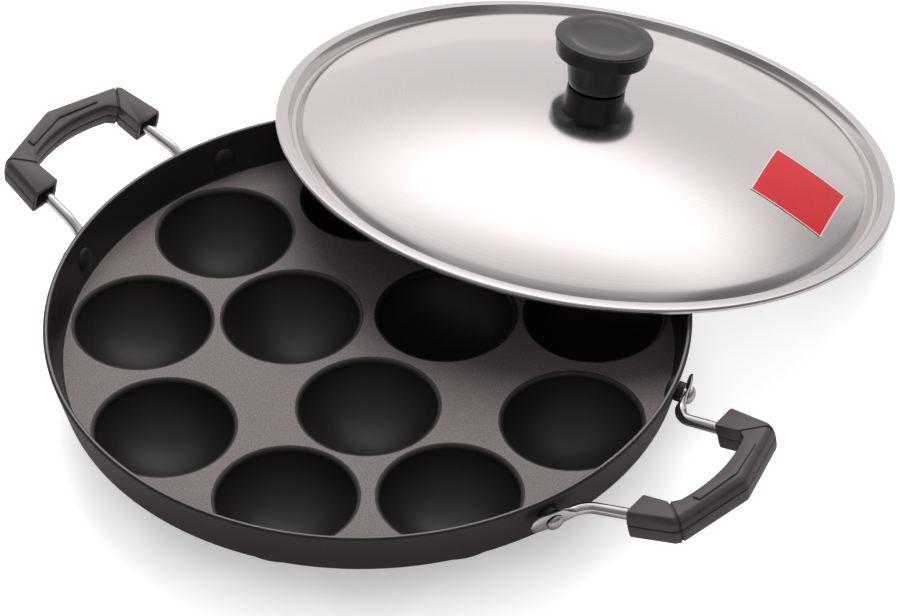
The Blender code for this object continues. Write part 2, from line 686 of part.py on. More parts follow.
def lean_tilt():
    """Tilt at which the lid's groove just clears the rim."""
    low, high = 0.0, math.radians(60)
    for _ in range(60):
        tilt = (low + high) / 2
        if rim_gap(tilt) > CLEARANCE:
            high = tilt
        else:
            low = tilt
    return tilt


def knob_profile(bore, bore_depth):
    """Section of the knob: bore, flared neck, stepped head and dished top."""
    head = KNOB_NECK_HEIGHT
    top = KNOB_NECK_HEIGHT + KNOB_HEAD_HEIGHT
    middle = head + KNOB_HEAD_HEIGHT / 2
    waist = (KNOB_HEAD_FOOT_RADIUS + KNOB_HEAD_RADIUS) / 2
    return [
        (0, top - KNOB_DISH_DEPTH), (KNOB_DISH_RADIUS, top - KNOB_DISH_DEPTH),
        (KNOB_DISH_RADIUS + KNOB_STEP, top), (KNOB_HEAD_RADIUS - KNOB_EDGE, top),
        (KNOB_HEAD_RADIUS, top - KNOB_EDGE), (waist + KNOB_STEP, middle), (waist, middle - KNOB_STEP),
        (KNOB_HEAD_FOOT_RADIUS, head + KNOB_EDGE), (KNOB_HEAD_FOOT_RADIUS - KNOB_EDGE, head),
        (KNOB_NECK_RADIUS, head - KNOB_EDGE), (KNOB_BASE_RADIUS + KNOB_STEP, head / 3), (KNOB_BASE_RADIUS, 0),
        (bore, 0), (bore, bore_depth), (0, bore_depth),
    ]


def make_knob(lid):
    """Turns the knob and what fastens it through the lid."""
    bore = KNOB_SCREW_RADIUS + CLEARANCE
    insert = bore + INSERT_WALL
    seat = Matrix.Translation((0, 0, DOME_HEIGHT + CLEARANCE))
    mesh = turned_mesh("knob", knob_profile(insert + CLEARANCE, INSERT_LENGTH + 2 * CLEARANCE), KNOB_STEPS)
    add_part("lid_knob", mesh, "knob_bakelite", seat, lid)
    sleeve = [(bore, CLEARANCE + INSERT_LENGTH), (insert, CLEARANCE + INSERT_LENGTH),
              (insert, CLEARANCE), (bore, CLEARANCE)]
    add_part("knob_insert", turned_mesh("knob_insert", sleeve, SCREW_STEPS, closed=True), "brass", seat, lid)
    under = dome_height(WASHER_RADIUS) - LID_STEEL - CLEARANCE
    ring = [(bore, under), (WASHER_RADIUS, under), (WASHER_RADIUS, under - WASHER_THICKNESS),
            (bore, under - WASHER_THICKNESS)]
    add_part("knob_washer", turned_mesh("knob_washer", ring, SCREW_STEPS, closed=True), "satin_steel",
             Matrix(), lid)
    base = under - WASHER_THICKNESS - CLEARANCE
    levels = (DOME_HEIGHT + INSERT_LENGTH, base, base - KNOB_SCREW_HEAD_HEIGHT)
    make_screw("knob_screw", KNOB_SCREW_RADIUS, KNOB_SCREW_HEAD_RADIUS, levels, Matrix(), lid)


def make_label(lid):
    """Lays the blank label on the dome."""
    bm = bmesh.new()
    bmesh.ops.create_grid(bm, x_segments=LABEL_CELLS, y_segments=LABEL_CELLS, size=0.5)
    bmesh.ops.scale(bm, vec=(*LABEL_SIZE, 1), verts=bm.verts)
    bmesh.ops.rotate(bm, matrix=Matrix.Rotation(LABEL_TURN, 3, "Z"), verts=bm.verts)
    distance = LID_RADIUS - LABEL_EDGE_GAP
    centre = Vector((distance * math.cos(LABEL_AZIMUTH), distance * math.sin(LABEL_AZIMUTH), 0))
    bmesh.ops.translate(bm, vec=centre, verts=bm.verts)
    for vert in bm.verts:
        vert.co.z = dome_height(vert.co.xy.length) + CLEARANCE / 2
    mesh = bpy.data.meshes.new("lid_label")
    bm.to_mesh(mesh)
    bm.free()
    shade(mesh)
    label = add_part("lid_label", mesh, "red_label", Matrix(), lid)
    paper = label.modifiers.new("paper", "SOLIDIFY")
    paper.thickness = LABEL_THICKNESS
    paper.offset = 1


def make_lid():
    """Presses the lid, leans it on the rim and fits its knob and label."""
    tilt = lean_tilt()
    lid = bpy.data.objects.new("lid_frame", None)
    PARTS.objects.link(lid)
    lid.matrix_world = frame_matrix(*lid_axes(tilt), lid_centre(tilt))
    shell = add_part("lid_shell", profile_mesh("lid_shell", lid_profile()), "stainless", Matrix(), lid)
    add_screw(shell, LID_STEPS)
    steel = shell.modifiers.new("steel", "SOLIDIFY")
    steel.thickness = LID_STEEL
    steel.offset = -1
    steel.use_even_offset = True
    make_knob(lid)
    make_label(lid)


clear_scene()
PARTS = make_collection("paniyaram_pan")
CUTTERS = make_collection("cutters")
MATERIALS = {name: make_material(name) for name in FINISHES}
RIVET_HOLES = make_rivet_holes()
RIVET_MESH = turned_mesh("rivet", rivet_profile(), RIVET_STEPS)
SPACER_MESH = turned_mesh("spacer", spacer_profile(), RIVET_STEPS, closed=True)
make_pan()
for handle_side, (handle_angle, handle_grip_angle, handle_pad) in HANDLES.items():
    make_handle(handle_side, handle_angle, handle_grip_angle, handle_pad)
make_lid()
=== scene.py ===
"""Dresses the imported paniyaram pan: the coated casting, the wire handles and their grips, the leaning
steel lid with its knob and label, and the studio they stand in. Metres, in the frame of the CAD part:
the plate's top face is at z = 0 and the pan's axis is the Z axis."""

import math

import bmesh
import bpy
from bpy.props import FloatProperty, FloatVectorProperty, IntProperty, PointerProperty
from mathutils import Matrix, Vector


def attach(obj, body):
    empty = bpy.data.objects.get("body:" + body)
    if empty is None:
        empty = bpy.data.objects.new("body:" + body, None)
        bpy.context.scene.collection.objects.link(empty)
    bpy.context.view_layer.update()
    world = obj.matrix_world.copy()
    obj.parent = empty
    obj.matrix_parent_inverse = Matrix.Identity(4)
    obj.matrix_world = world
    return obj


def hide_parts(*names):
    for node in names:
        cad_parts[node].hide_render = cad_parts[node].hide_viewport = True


bl_info = {
    "name": "Paniyaram Pan",
    "version": (1, 0, 0),
    "blender": (4, 5, 0),
    "location": "3D View > Sidebar > Paniyaram Pan",
    "description": "Builds a cast pan with round cavities, two wire handles and a leaning steel lid",
    "category": "Object",
}

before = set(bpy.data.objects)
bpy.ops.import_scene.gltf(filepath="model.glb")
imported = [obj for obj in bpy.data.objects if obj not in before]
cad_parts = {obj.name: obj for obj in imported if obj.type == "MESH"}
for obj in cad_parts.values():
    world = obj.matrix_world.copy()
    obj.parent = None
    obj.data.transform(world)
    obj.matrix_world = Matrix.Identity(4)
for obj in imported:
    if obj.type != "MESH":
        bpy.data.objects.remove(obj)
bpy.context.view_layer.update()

# Gap between neighbouring pieces, and the distance under which vertices are merged
CLEARANCE = 0.0003
MERGE_DISTANCE = 0.000002

# Pan: rings of cavities and the shape of the cast bowls under the plate
OUTER_COUNT = 9
OUTER_FIRST_ANGLE = math.radians(10)
INNER_COUNT = 3
INNER_FIRST_ANGLE = math.radians(30)
OUTER_WEB = 0.00466
WALL_WEB = 0.0003
INNER_WEB = 0.0038
PLATE_FILLET = 0.0008
BOWL_RADIUS = 0.028
BOWL_CENTRE_HEIGHT = 0.007
BOWL_ROUND_END = math.radians(41.5)
BOWL_FOOT_RADIUS = 0.0065
WALL_TOE_ROUNDING = 0.0011
LIP_END_DEGREES = 164
WALL_SKIN = 0.0004
RIM_SKIN = 0.001

# The bowl's foot is rounded by these steps outwards from its radius and up from the floor
BOWL_FOOT_ROUNDING = ((0.0012, 0.00095), (0.0004, 0.0003), (-0.0004, 0))
FLOOR_Z = -0.024

# Handles: the angle of the rivets' middle, the angle of the grip and the height of the rivets
RIVET_HEIGHT = 0.009
LOW_RIVET_HEIGHT = 0.006
HANDLES = {
    "left": (math.radians(138.5), math.radians(138.1), LOW_RIVET_HEIGHT),
    "right": (math.radians(-38), math.radians(-37.2), RIVET_HEIGHT),
}
RIVET_SPREAD = math.radians(19.5)
SPACER_LENGTH = 0.0026
EYELET_THICKNESS = 0.0018
EYELET_CENTRE = CLEARANCE + SPACER_LENGTH + CLEARANCE + EYELET_THICKNESS / 2
EYELET_OVERHANG = 0.0015
EYELET_LEAN = math.radians(7)
EYELET_BEND_RADIUS = 0.03
ROD_BEND_DISTANCE = 0.0125
ROD_ARM_DISTANCE = 0.0252
ROD_CROSS = 0.0413
ROD_BEND_RADIUS = 0.008
ROD_CORNER_RADIUS = 0.007
ROD_KNEE_RADIUS = 0.012
ROD_KNEE_SHARE = 0.2
ROD_STEP = 0.0009

# Where a flattened end begins to thicken, to narrow and to twist, from its tip, and over what stretch
ROD_THICKENING = (0.0115, 0.0065)
ROD_NARROWING = (0.0095, 0.0085)
ROD_TWIST = (0.010, 0.014)

# Rivets and spacers
RIVET_SHANK_RADIUS = 0.002
RIVET_DOME_SHARE = 0.62
INNER_HEAD_SHARE = 0.34
SPACER_BORE_RADIUS = 0.0022
SPACER_ROUNDING = 0.0003


def length(name, text, value):
    """A size that a user may change."""
    return FloatProperty(name=name, description=text, default=value, unit="LENGTH", subtype="DISTANCE",
                         precision=5)


def colour(name, text, value):
    """A colour that a user may change."""
    return FloatVectorProperty(name=name, description=text, default=value, subtype="COLOR", size=3,
                               min=0.0, max=1.0)


def slant(name, text, degrees):
    """An angle that a user may change."""
    return FloatProperty(name=name, description=text, default=math.radians(degrees), subtype="ANGLE")


def sides(name, text, value, low):
    """A number of sides that a user may change."""
    return IntProperty(name=name, description=text, default=value, min=low)


def amount(name, text, value, low=0.0, high=1.0):
    """A plain number that a user may change."""
    return FloatProperty(name=name, description=text, default=value, min=low, max=high)


class PaniyaramPanSizes(bpy.types.PropertyGroup):
    """Sizes of the casting."""

    rim_radius: length("Rim radius", "Outer radius of the pan at its rim", 0.1175)
    rim_height: length("Rim height", "Height of the rim over the plate", 0.016)
    wall_thickness: length("Wall thickness", "Thickness of the flared wall", 0.0021)
    wall_flare: slant("Wall flare", "Angle of the wall from upright", 13.9)
    plate_thickness: length("Plate thickness", "Thickness of the cast plate", 0.003)
    cavity_depth: length("Cavity depth", "Depth of a cavity under the plate", 0.0195)
    lip_radius: length("Lip radius", "Rounding of a cavity's lip", 0.0019)
    rim_steps: sides("Rim steps", "Sides of the rim's circle", 256, 24)
    cavity_steps: sides("Cavity steps", "Sides of a cavity's circle", 72, 16)


class PaniyaramHandleSizes(bpy.types.PropertyGroup):
    """Sizes of the wire handles and their grips."""

    slope: slant("Slope", "Rise of a handle from level", 14)
    wire_radius: length("Wire radius", "Radius of the handle's wire", 0.0021)
    eyelet_length: length("Eyelet length", "Length of the flattened wire end", 0.0148)
    eyelet_height: length("Eyelet height", "Height of the flattened wire end", 0.0092)
    spacer_radius: length("Spacer radius", "Radius of the round spacer", 0.0037)
    rivet_radius: length("Rivet head radius", "Radius of a rivet's outer head", 0.0033)
    inner_head_radius: length("Inner head radius", "Radius of a rivet's inner head", 0.0047)
    half_height: length("Grip half height", "Height of one half of a grip", 0.0052)
    pad_height: length("Pad height", "Rise of the raised pad on a grip", 0.0008)
    crease_depth: length("Crease depth", "Depth of the crease across a grip's corner", 0.0006)


class PaniyaramLidSizes(bpy.types.PropertyGroup):
    """Sizes of the lid, its knob and its label."""

    radius: length("Lid radius", "Outer radius of the lid", 0.11885)
    steel: length("Steel", "Thickness of the pressed steel", 0.0007)
    dome_height: length("Dome height", "Height of the dome over the flange", 0.0262)
    groove_depth: length("Groove depth", "Depth of the groove inside the flange", 0.0039)
    lean_azimuth: slant("Lean direction", "Direction in which the lid leans", 51.5)
    lean_tilt: slant("Lean tilt", "Tilt of the leaning lid from level", 13.2817)
    lean_distance: length("Lean distance", "Distance of the lid's centre from the pan's axis", 0.133)
    centre_height: length("Centre height", "Height of the flange's centre over the plate", 0.00678)
    knob_radius: length("Knob radius", "Radius of the knob's head", 0.0187)
    knob_height: length("Knob height", "Height of the knob over the dome", 0.0204)
    label_width: length("Label width", "Width of the blank label", 0.0335)
    label_height: length("Label height", "Height of the blank label", 0.0293)
    steps: sides("Lid steps", "Sides of the lid's circle", 240, 48)


class PaniyaramFinishes(bpy.types.PropertyGroup):
    """Colours of the finishes, linear."""

    # Painted sheen: the plate wears the cavities' dark coating, lightened to stand for the sheen of the
    # overhead light on the plate
    plate: colour("Plate", "Non-stick coating on the plate, lightened by painted sheen", (0.115, 0.095, 0.0935))
    coating: colour("Coating", "Coating in the cavities and on the inner wall", (0.0128, 0.0101, 0.0099))
    # Painted highlight: a pale coating that stands for the light caught along the rim's crest and the plate's
    # edge
    painted_edge_highlight: colour("Painted edge highlight", "Coating painted pale along the rim and the plate's edge as a highlight", (0.17, 0.152, 0.15))
    outside: colour("Outside", "Coating on the outer wall and the bowls", (0.034, 0.0262, 0.0257))
    bakelite: colour("Bakelite", "Moulded grips", (0.053, 0.0405, 0.0398))
    knob: colour("Knob", "Glossy knob", (0.0095, 0.0076, 0.0072))
    stainless: colour("Stainless", "Polished lid steel", (0.72, 0.705, 0.7))
    chrome: colour("Chrome", "Bright wire", (0.78, 0.78, 0.78))
    satin: colour("Satin steel", "Rivets, screws and washer", (0.62, 0.61, 0.6))
    rubber: colour("Spacer", "Black spacers and inner rivet heads", (0.012, 0.012, 0.012))
    brass: colour("Brass", "Threaded insert in the knob", (0.7, 0.5, 0.22))
    label: colour("Label", "Blank label", (0.64, 0.016, 0.024))
    label_edge: colour("Label edge", "Unprinted border of the label", (0.85, 0.7, 0.7))


class PaniyaramStudio(bpy.types.PropertyGroup):
    """The studio: camera, lamps and floor."""

    camera_place: FloatVectorProperty(name="Camera place", description="Where the camera stands", size=3,
                                      default=(0.02979, -1.19033, 1.06923), unit="LENGTH", precision=5)
    camera_pitch: slant("Camera pitch", "Angle of the camera below level", 41.47)
    camera_roll: slant("Camera roll", "Turn of the camera about its view", -0.93)
    camera_lens: amount("Camera lens", "Focal length in millimetres on a 36 mm sensor", 176.0, 1.0, 1000.0)
    key_power: amount("Key power", "Watts of the soft lamp behind and over the pan", 18.0, 0.0, 1000.0)
    fill_power: amount("Fill power", "Watts of the soft lamp over the camera", 2.0, 0.0, 1000.0)
    world_strength: amount("World strength", "Strength of the soft light from all round", 0.3, 0.0, 10.0)
    glow_strength: amount("Glow strength", "How bright shiny pieces see the lit ceiling", 0.9, 0.0, 20.0)
    glow_right: amount("Glow right", "Rightward part of the direction to the ceiling's middle", 0.135, -1.0)
    glow_far: amount("Glow far", "Backward part of the direction to the ceiling's middle", 0.596, -1.0)
    glow_width: amount("Glow width", "Half width of the lit ceiling, as a direction", 0.505, 0.05, 2.0)
    glow_depth: amount("Glow depth", "Half depth of the lit ceiling, as a direction", 0.224, 0.05, 2.0)
    glow_turn: slant("Glow turn", "Turn of the lit ceiling, seen from above", -16.4)


class PaniyaramSettings(bpy.types.PropertyGroup):
    """Everything a user may change."""

    pan: PointerProperty(type=PaniyaramPanSizes)
    handle: PointerProperty(type=PaniyaramHandleSizes)
    lid: PointerProperty(type=PaniyaramLidSizes)
    finish: PointerProperty(type=PaniyaramFinishes)
    studio: PointerProperty(type=PaniyaramStudio)


def settings():
    """The scene's settings for the pan."""
    return bpy.context.scene.paniyaram


def wall_outer_radius(z):
    """Radius of the pan's outer wall at a height."""
    pan = settings().pan
    return pan.rim_radius - (pan.rim_height - z) * math.tan(pan.wall_flare)


def wall_inner_radius(z):
    """Radius of the pan's inner wall at a height."""
    return wall_outer_radius(z) - settings().pan.wall_thickness


def arc(centre, radius, start, end, steps):
    """Points of an arc in the profile's plane, from one angle in degrees to another."""
    angles = [math.radians(start + (end - start) * i / steps) for i in range(steps + 1)]
    return [(centre[0] + radius * math.cos(a), centre[1] + radius * math.sin(a)) for a in angles]


def spin_profile(bm, points, steps, material=0):
    """Turns a chain of points in the XZ plane about Z and gives its new vertices."""
    chain = [bm.verts.new((x, 0, z)) for x, z in points]
    edges = [bm.edges.new(pair) for pair in zip(chain, chain[1:])]
    before = set(bm.faces)
    bmesh.ops.spin(bm, geom=chain + edges, cent=(0, 0, 0), axis=(0, 0, 1), dvec=(0, 0, 0),
                   angle=2 * math.pi, steps=steps, use_merge=True, use_duplicate=False)
    made = [face for face in bm.faces if face not in before]
    for face in made:
        face.material_index = material
    return list({vert for face in made for vert in face.verts})


def tidy_shell(bm):
    """Closes seams and poles and turns the faces outwards."""
    bmesh.ops.remove_doubles(bm, verts=bm.verts, dist=MERGE_DISTANCE)
    bmesh.ops.dissolve_degenerate(bm, dist=MERGE_DISTANCE / 2, edges=bm.edges)
    bmesh.ops.recalc_face_normals(bm, faces=bm.faces)


def face_up(bm):
    """Turns the faces of an open sheet upwards."""
    bmesh.ops.recalc_face_normals(bm, faces=bm.faces)
    if sum(face.normal.z for face in bm.faces) < 0:
        bmesh.ops.reverse_faces(bm, faces=bm.faces)


def set_smooth(bm, angle):
    """Shades smooth, with edges sharper than an angle kept sharp."""
    limit = math.radians(angle)
    for face in bm.faces:
        face.smooth = True
    for edge in bm.edges:
        if len(edge.link_faces) == 2:
            edge.smooth = edge.smooth and edge.calc_face_angle(0) < limit


def close_piece(bm, sharp_angle, place=Matrix()):
    """Closes a piece's mesh, shades it and sets it in its place."""
    tidy_shell(bm)
    set_smooth(bm, sharp_angle)
    bmesh.ops.transform(bm, matrix=place, verts=bm.verts)


def finish_piece(name, bm, materials, body, nodes):
    """Makes the finished piece, rides it on its body and hides the CAD nodes it stands for."""
    mesh = bpy.data.meshes.new(name)
    bm.to_mesh(mesh)
    bm.free()
    for material in materials:
        mesh.materials.append(material)
    piece = bpy.data.objects.new(name, mesh)
    bpy.context.scene.collection.objects.link(piece)
    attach(piece, body)
    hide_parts(*nodes)
    return piece


def frame_matrix(x_axis, y_axis, z_axis, origin):
    """Places a local frame by its axes and its origin."""
    turn = Matrix((x_axis, y_axis, z_axis)).transposed()
    return Matrix.Translation(origin) @ turn.to_4x4()


def around(radius, azimuth, height=0.0):
    """Point at a radius and an angle round the pan's axis."""
    return Vector((radius * math.cos(azimuth), radius * math.sin(azimuth), height))


def heading(azimuth, rise):
    """Direction at an angle round the pan's axis that rises from level."""
    return around(math.cos(rise), azimuth, math.sin(rise))


def sideways(azimuth):
    """Level direction square to an angle round the pan's axis."""
    return Vector((-math.sin(azimuth), math.cos(azimuth), 0))


def rivet_frame(angle, height):
    """Frame of a rivet: x along the wall, y up the wall, z out of the wall."""
    along, out = sideways(angle), heading(angle, -settings().pan.wall_flare)
    return frame_matrix(along, out.cross(along), out, around(wall_outer_radius(height), angle, height))


def handle_frame(angle):
    """Frame of a handle: x outwards along its slope, y sideways, z up."""
    out, side = heading(angle, settings().handle.slope), sideways(angle)
    height = RIVET_HEIGHT - EYELET_CENTRE * math.sin(settings().pan.wall_flare)
    return frame_matrix(out, side, out.cross(side), around(wall_outer_radius(RIVET_HEIGHT), angle, height))


def lid_frame():
    """Frame of the leaning lid: x downhill, y sideways, z out of its top."""
    lid = settings().lid
    down, side = heading(lid.lean_azimuth, -lid.lean_tilt), sideways(lid.lean_azimuth)
    origin = around(lid.lean_distance, lid.lean_azimuth, lid.centre_height)
    return frame_matrix(down, side, down.cross(side), origin)


class NodeTree:
    """A node tree under construction."""

    def __init__(self, tree):
        self.nodes = tree.nodes
        self.links = tree.links

    def node(self, kind, **inputs):
        """Adds a node; inputs are socket names with spaces as underscores, links or values."""
        made = self.nodes.new(f"ShaderNode{kind}")
        for name, value in inputs.items():
            self.feed(made.inputs[name.replace("_", " ")], value)
        return made

    def feed(self, socket, value):
        """Links a socket to an output, or sets its value."""
        if isinstance(value, bpy.types.NodeSocket):
            self.links.new(value, socket)
        else:
            socket.default_value = value

    def maths(self, operation, *values):
        """Works out a value from links or numbers."""
        made = self.node("Math")
        made.operation = operation
        for socket, value in zip(made.inputs, values):
            self.feed(socket, value)
        return made.outputs[0]

    def span(self, vector):
        """Length of a vector."""
        made = self.node("VectorMath")
        made.operation = "LENGTH"
        self.feed(made.inputs[0], vector)
        return made.outputs["Value"]

    def remap(self, value, low, high, to_low, to_high, interpolation="LINEAR"):
        """Maps a range of a value to another range, clamped."""
        made = self.node("MapRange", Value=value, From_Min=low, From_Max=high, To_Min=to_low, To_Max=to_high)
        made.interpolation_type = interpolation
        return made.outputs["Result"]


class Finish(NodeTree):
    """A node material under construction."""

    def __init__(self, name, base, roughness, metallic=0.0):
        self.material = bpy.data.materials.new(name)
        self.material.use_nodes = True
        super().__init__(self.material.node_tree)
        self.shader = self.nodes["Principled BSDF"]
        self.set("Base Color", (*base, 1))
        self.set("Roughness", roughness)
        self.set("Metallic", metallic)
        self.coordinates = self.node("TexCoord").outputs["Object"]

    def noise(self, scale, detail, roughness):
        """A noise value over the object."""
        made = self.node("TexNoise", Vector=self.coordinates, Scale=scale, Detail=detail, Roughness=roughness)
        return made.outputs["Fac"]

    def mix(self, factor, first, second):
        """Mixes two colours."""
        made = self.node("Mix")
        made.data_type = "RGBA"
        self.feed(made.inputs[0], factor)
        self.feed(made.inputs[6], first)
        self.feed(made.inputs[7], second)
        return made.outputs[2]

    def bump(self, height, strength, distance):
        """Feeds a bump to the shader."""
        made = self.node("Bump", Height=height, Strength=strength, Distance=distance)
        self.links.new(made.outputs["Normal"], self.shader.inputs["Normal"])

    def set(self, name, value):
        """Sets or links one of the shader's own sockets."""
        self.feed(self.shader.inputs[name], value)


def scaled(base, factor):
    """A colour times a factor, as RGBA."""
    return (*[min(1.0, part * factor) for part in base], 1)


def coating_material(name, base, roughness, speckle, grain=0.00006, gloss=0.5):
    """Non-stick coating: a fine speckle of lighter flakes and the grain of the sprayed coat."""
    made = Finish(name, base, roughness)
    flakes = made.noise(1700, 4, 0.75)
    spots = made.remap(flakes, 0.48, 0.66, 0, 1)
    patches = made.remap(made.noise(45, 3, 0.6), 0.35, 0.65, 0, 1)
    tone = made.mix(patches, scaled(base, 0.94), scaled(base, 1.06))
    made.set("Base Color", made.mix(spots, tone, scaled(base, speckle)))
    made.set("Roughness", made.remap(flakes, 0.3, 0.7, roughness - 0.05, roughness + 0.07))
    made.bump(flakes, 0.3, grain)
    made.set("Specular IOR Level", gloss)
    return made.material


def moulded_material(name, base, roughness, tone=0.15, grain=0.00003, gloss=0.5):
    """Moulded bakelite: faint mottling, a satin skin and tiny pores."""
    made = Finish(name, base, roughness)
    mottle = made.remap(made.noise(160, 4, 0.6), 0.3, 0.7, 0, 1)
    made.set("Base Color", made.mix(mottle, scaled(base, 1 - tone), scaled(base, 1 + tone)))
    skin = made.noise(1400, 3, 0.6)
    made.set("Roughness", made.remap(skin, 0.3, 0.7, roughness - 0.05, roughness + 0.07))
    made.bump(skin, 0.25, grain)
    made.set("Specular IOR Level", gloss)
    return made.material


def metal_material(name, base, roughness, scale=900, scratch=0.000008):
    """Bare metal with fine, faint scratches."""
    made = Finish(name, base, roughness, 1.0)
    lines = made.noise(scale, 4, 0.7)
    tone = made.remap(lines, 0.3, 0.7, 0, 1)
    made.set("Base Color", made.mix(tone, scaled(base, 0.96), scaled(base, 1.03)))
    made.set("Roughness", made.remap(lines, 0.3, 0.7, roughness * 0.85, roughness * 1.2))
    made.bump(lines, 0.15, scratch)
    return made.material


def turned_steel(name, base, roughness, place):
    """Spun steel: faint turning lines round the axis of a frame."""
    made = Finish(name, base, roughness, 1.0)
    mapping = made.node("Mapping", Vector=made.coordinates)
    mapping.vector_type = "TEXTURE"
    mapping.inputs["Location"].default_value = place.translation
    mapping.inputs["Rotation"].default_value = place.to_euler()
    flat = made.node("VectorMath")
    flat.operation = "MULTIPLY"
    made.feed(flat.inputs[0], mapping.outputs["Vector"])
    flat.inputs[1].default_value = (1, 1, 0)
    turning = made.node("TexNoise", Scale=2600, Detail=4)
    turning.noise_dimensions = "1D"
    made.feed(turning.inputs["W"], made.span(flat.outputs["Vector"]))
    lines = turning.outputs["Fac"]
    tone = made.remap(lines, 0.35, 0.65, 0, 1)
    made.set("Base Color", made.mix(tone, scaled(base, 0.975), scaled(base, 1.02)))
    made.set("Roughness", made.remap(lines, 0.3, 0.7, roughness * 0.9, roughness * 1.12))
    made.bump(lines, 0.03, 0.000003)
    return made.material


def lip_circle():
    """Radius of a cavity's lip on the plate, and the radii of the two rings of cavities."""
    plate = wall_inner_radius(0) - PLATE_FILLET
    sine = math.sin(math.pi / OUTER_COUNT)
    lip = ((plate - WALL_WEB) * sine - OUTER_WEB / 2) / (1 + sine)
    inner = (lip + INNER_WEB / 2) / math.sin(math.pi / INNER_COUNT)
    return lip, plate - WALL_WEB - lip, inner


def cavity_places():
    """Centre of each cavity."""
    _, outer, inner = lip_circle()
    rings = ((OUTER_COUNT, OUTER_FIRST_ANGLE, outer), (INNER_COUNT, INNER_FIRST_ANGLE, inner))
    return [around(radius, first + 2 * math.pi * i / count)
            for count, first, radius in rings for i in range(count)]


def cavity_profile():
    """Section of a cavity: rounded lip and round bowl."""
    pan = settings().pan
    lip = lip_circle()[0]
    mouth = lip - pan.lip_radius
    drop = pan.cavity_depth - pan.lip_radius
    sphere = (mouth ** 2 + drop ** 2) / (2 * drop)
    reach = math.degrees(math.asin(mouth / sphere))
    bowl = arc((0, sphere - pan.cavity_depth), sphere, reach - 90, -90, 20)
    return arc((lip, -pan.lip_radius), pan.lip_radius, 90, LIP_END_DEGREES, 9) + bowl


def bowl_profile():
    """Section of a bowl's outside: round flank, straight run and flat foot."""
    low = -settings().pan.plate_thickness
    start = math.degrees(math.acos((BOWL_CENTRE_HEIGHT - low) / BOWL_RADIUS))
    flank = arc((0, BOWL_CENTRE_HEIGHT), BOWL_RADIUS, start - 90, math.degrees(BOWL_ROUND_END) - 90, 12)
    foot = [(BOWL_FOOT_RADIUS + out, FLOOR_Z + up) for out, up in BOWL_FOOT_ROUNDING]
    return flank + foot + [(0, FLOOR_Z)]


def wall_profile():
    """Section of the wall from the plate's top over the rim to the plate's underside."""
    pan = settings().pan
    half = pan.wall_thickness / 2
    plate = wall_inner_radius(0) - PLATE_FILLET
    low = -pan.plate_thickness
    flare = math.degrees(pan.wall_flare)
    rim = (wall_outer_radius(pan.rim_height - half) - half, pan.rim_height - half)
    round_off = WALL_TOE_ROUNDING
    toe = (wall_outer_radius(low + round_off) - round_off, low + round_off)
    return (arc((plate, PLATE_FILLET), PLATE_FILLET, -90, -flare, 5)
            + arc(rim, half, 180 - flare, -flare, 8)
            + arc(toe, round_off, -flare, -90, 6))


def rings_at(bm, height):
    """Open edges of the mesh that lie at a height."""
    return [edge for edge in bm.edges if edge.is_boundary
            and all(abs(vert.co.z - height) < MERGE_DISTANCE / 2 for vert in edge.verts)]


class PANIYARAM_OT_pan(bpy.types.Operator):
    """Casts the pan: a flat plate with twelve lipped cavities, the bowls under it and the flared wall"""

    bl_idname = "paniyaram.pan"
    bl_label = "Cast Pan"

    def execute(self, context):
        pan = settings().pan
        plate_slot, coating_slot, outside_slot, painted_highlight_slot = range(4)
        bm = bmesh.new()
        for place in cavity_places():
            for points, material in ((cavity_profile(), coating_slot), (bowl_profile(), outside_slot)):
                made = spin_profile(bm, points, pan.cavity_steps, material)
                bmesh.ops.translate(bm, vec=place, verts=made)
        spin_profile(bm, wall_profile(), pan.rim_steps, coating_slot)
        bmesh.ops.remove_doubles(bm, verts=bm.verts, dist=MERGE_DISTANCE)
        outer = pan.rim_radius - pan.wall_thickness / 2
        for face in bm.faces:
            middle = face.calc_center_median()
            radius = middle.xy.length
            # Faces on the rim's crest and on the plate's edge take the pale coating, a painted highlight
            crest = middle.z > pan.rim_height - pan.wall_thickness * 0.05
            plate_edge = 0 < middle.z < PLATE_FILLET * 0.03 and radius > wall_inner_radius(0) - PLATE_FILLET
            if crest or plate_edge:
                face.material_index = painted_highlight_slot
            elif wall_outer_radius(middle.z) - WALL_SKIN < radius < outer + RIM_SKIN:
                face.material_index = outside_slot
        for height, material in ((0, plate_slot), (-pan.plate_thickness, outside_slot)):
            edges = rings_at(bm, height)
            for edge in edges:
                edge.smooth = False
            made = bmesh.ops.triangle_fill(bm, edges=edges, use_beauty=True, normal=(0, 0, 1))["geom"]
            for item in made:
                if isinstance(item, bmesh.types.BMFace):
                    item.material_index = material
        close_piece(bm, 30)
        finish = settings().finish
        materials = [
            # The plate's pale coating is painted sheen, a lit copy of the dark cavity coating
            coating_material("plate coating with painted sheen", finish.plate, 0.46, 2.3, 0.0001, 0.8),
            coating_material("cavity coating", finish.coating, 0.42, 1.6),
            coating_material("outer coating", finish.outside, 0.45, 1.35),
            # Pale coating painted as a highlight on the rim's crest and the plate's edge
            coating_material("painted edge highlight coating", finish.painted_edge_highlight, 0.4, 1.3),
        ]
        finish_piece("pan_casting", bm, materials, "pan", ["pan_body"])
        return {"FINISHED"}


def corner_arc(before, corner, after, radius):
    """Centre of the arc that rounds a corner, and the arc's first and last point as seen from it."""
    to_before = (before - corner).normalized()
    to_after = (after - corner).normalized()
    half = to_before.angle(to_after) / 2
    setback = radius / math.tan(half)
    centre = corner + (to_before + to_after).normalized() * (radius / math.sin(half))
    return centre, corner + to_before * setback - centre, corner + to_after * setback - centre


def fillet_path(points, radii, steps):
    """Rounds the inner corners of a path, each by its own bend radius."""
    path = [points[0]]
    for before, corner, after, radius in zip(points, points[1:], points[2:], radii):
        centre, start, end = corner_arc(before, corner, after, radius)
        start, end = start.normalized(), end.normalized()
        path += [centre + start.slerp(end, i / steps) * radius for i in range(steps + 1)]
    return path + [points[-1]]


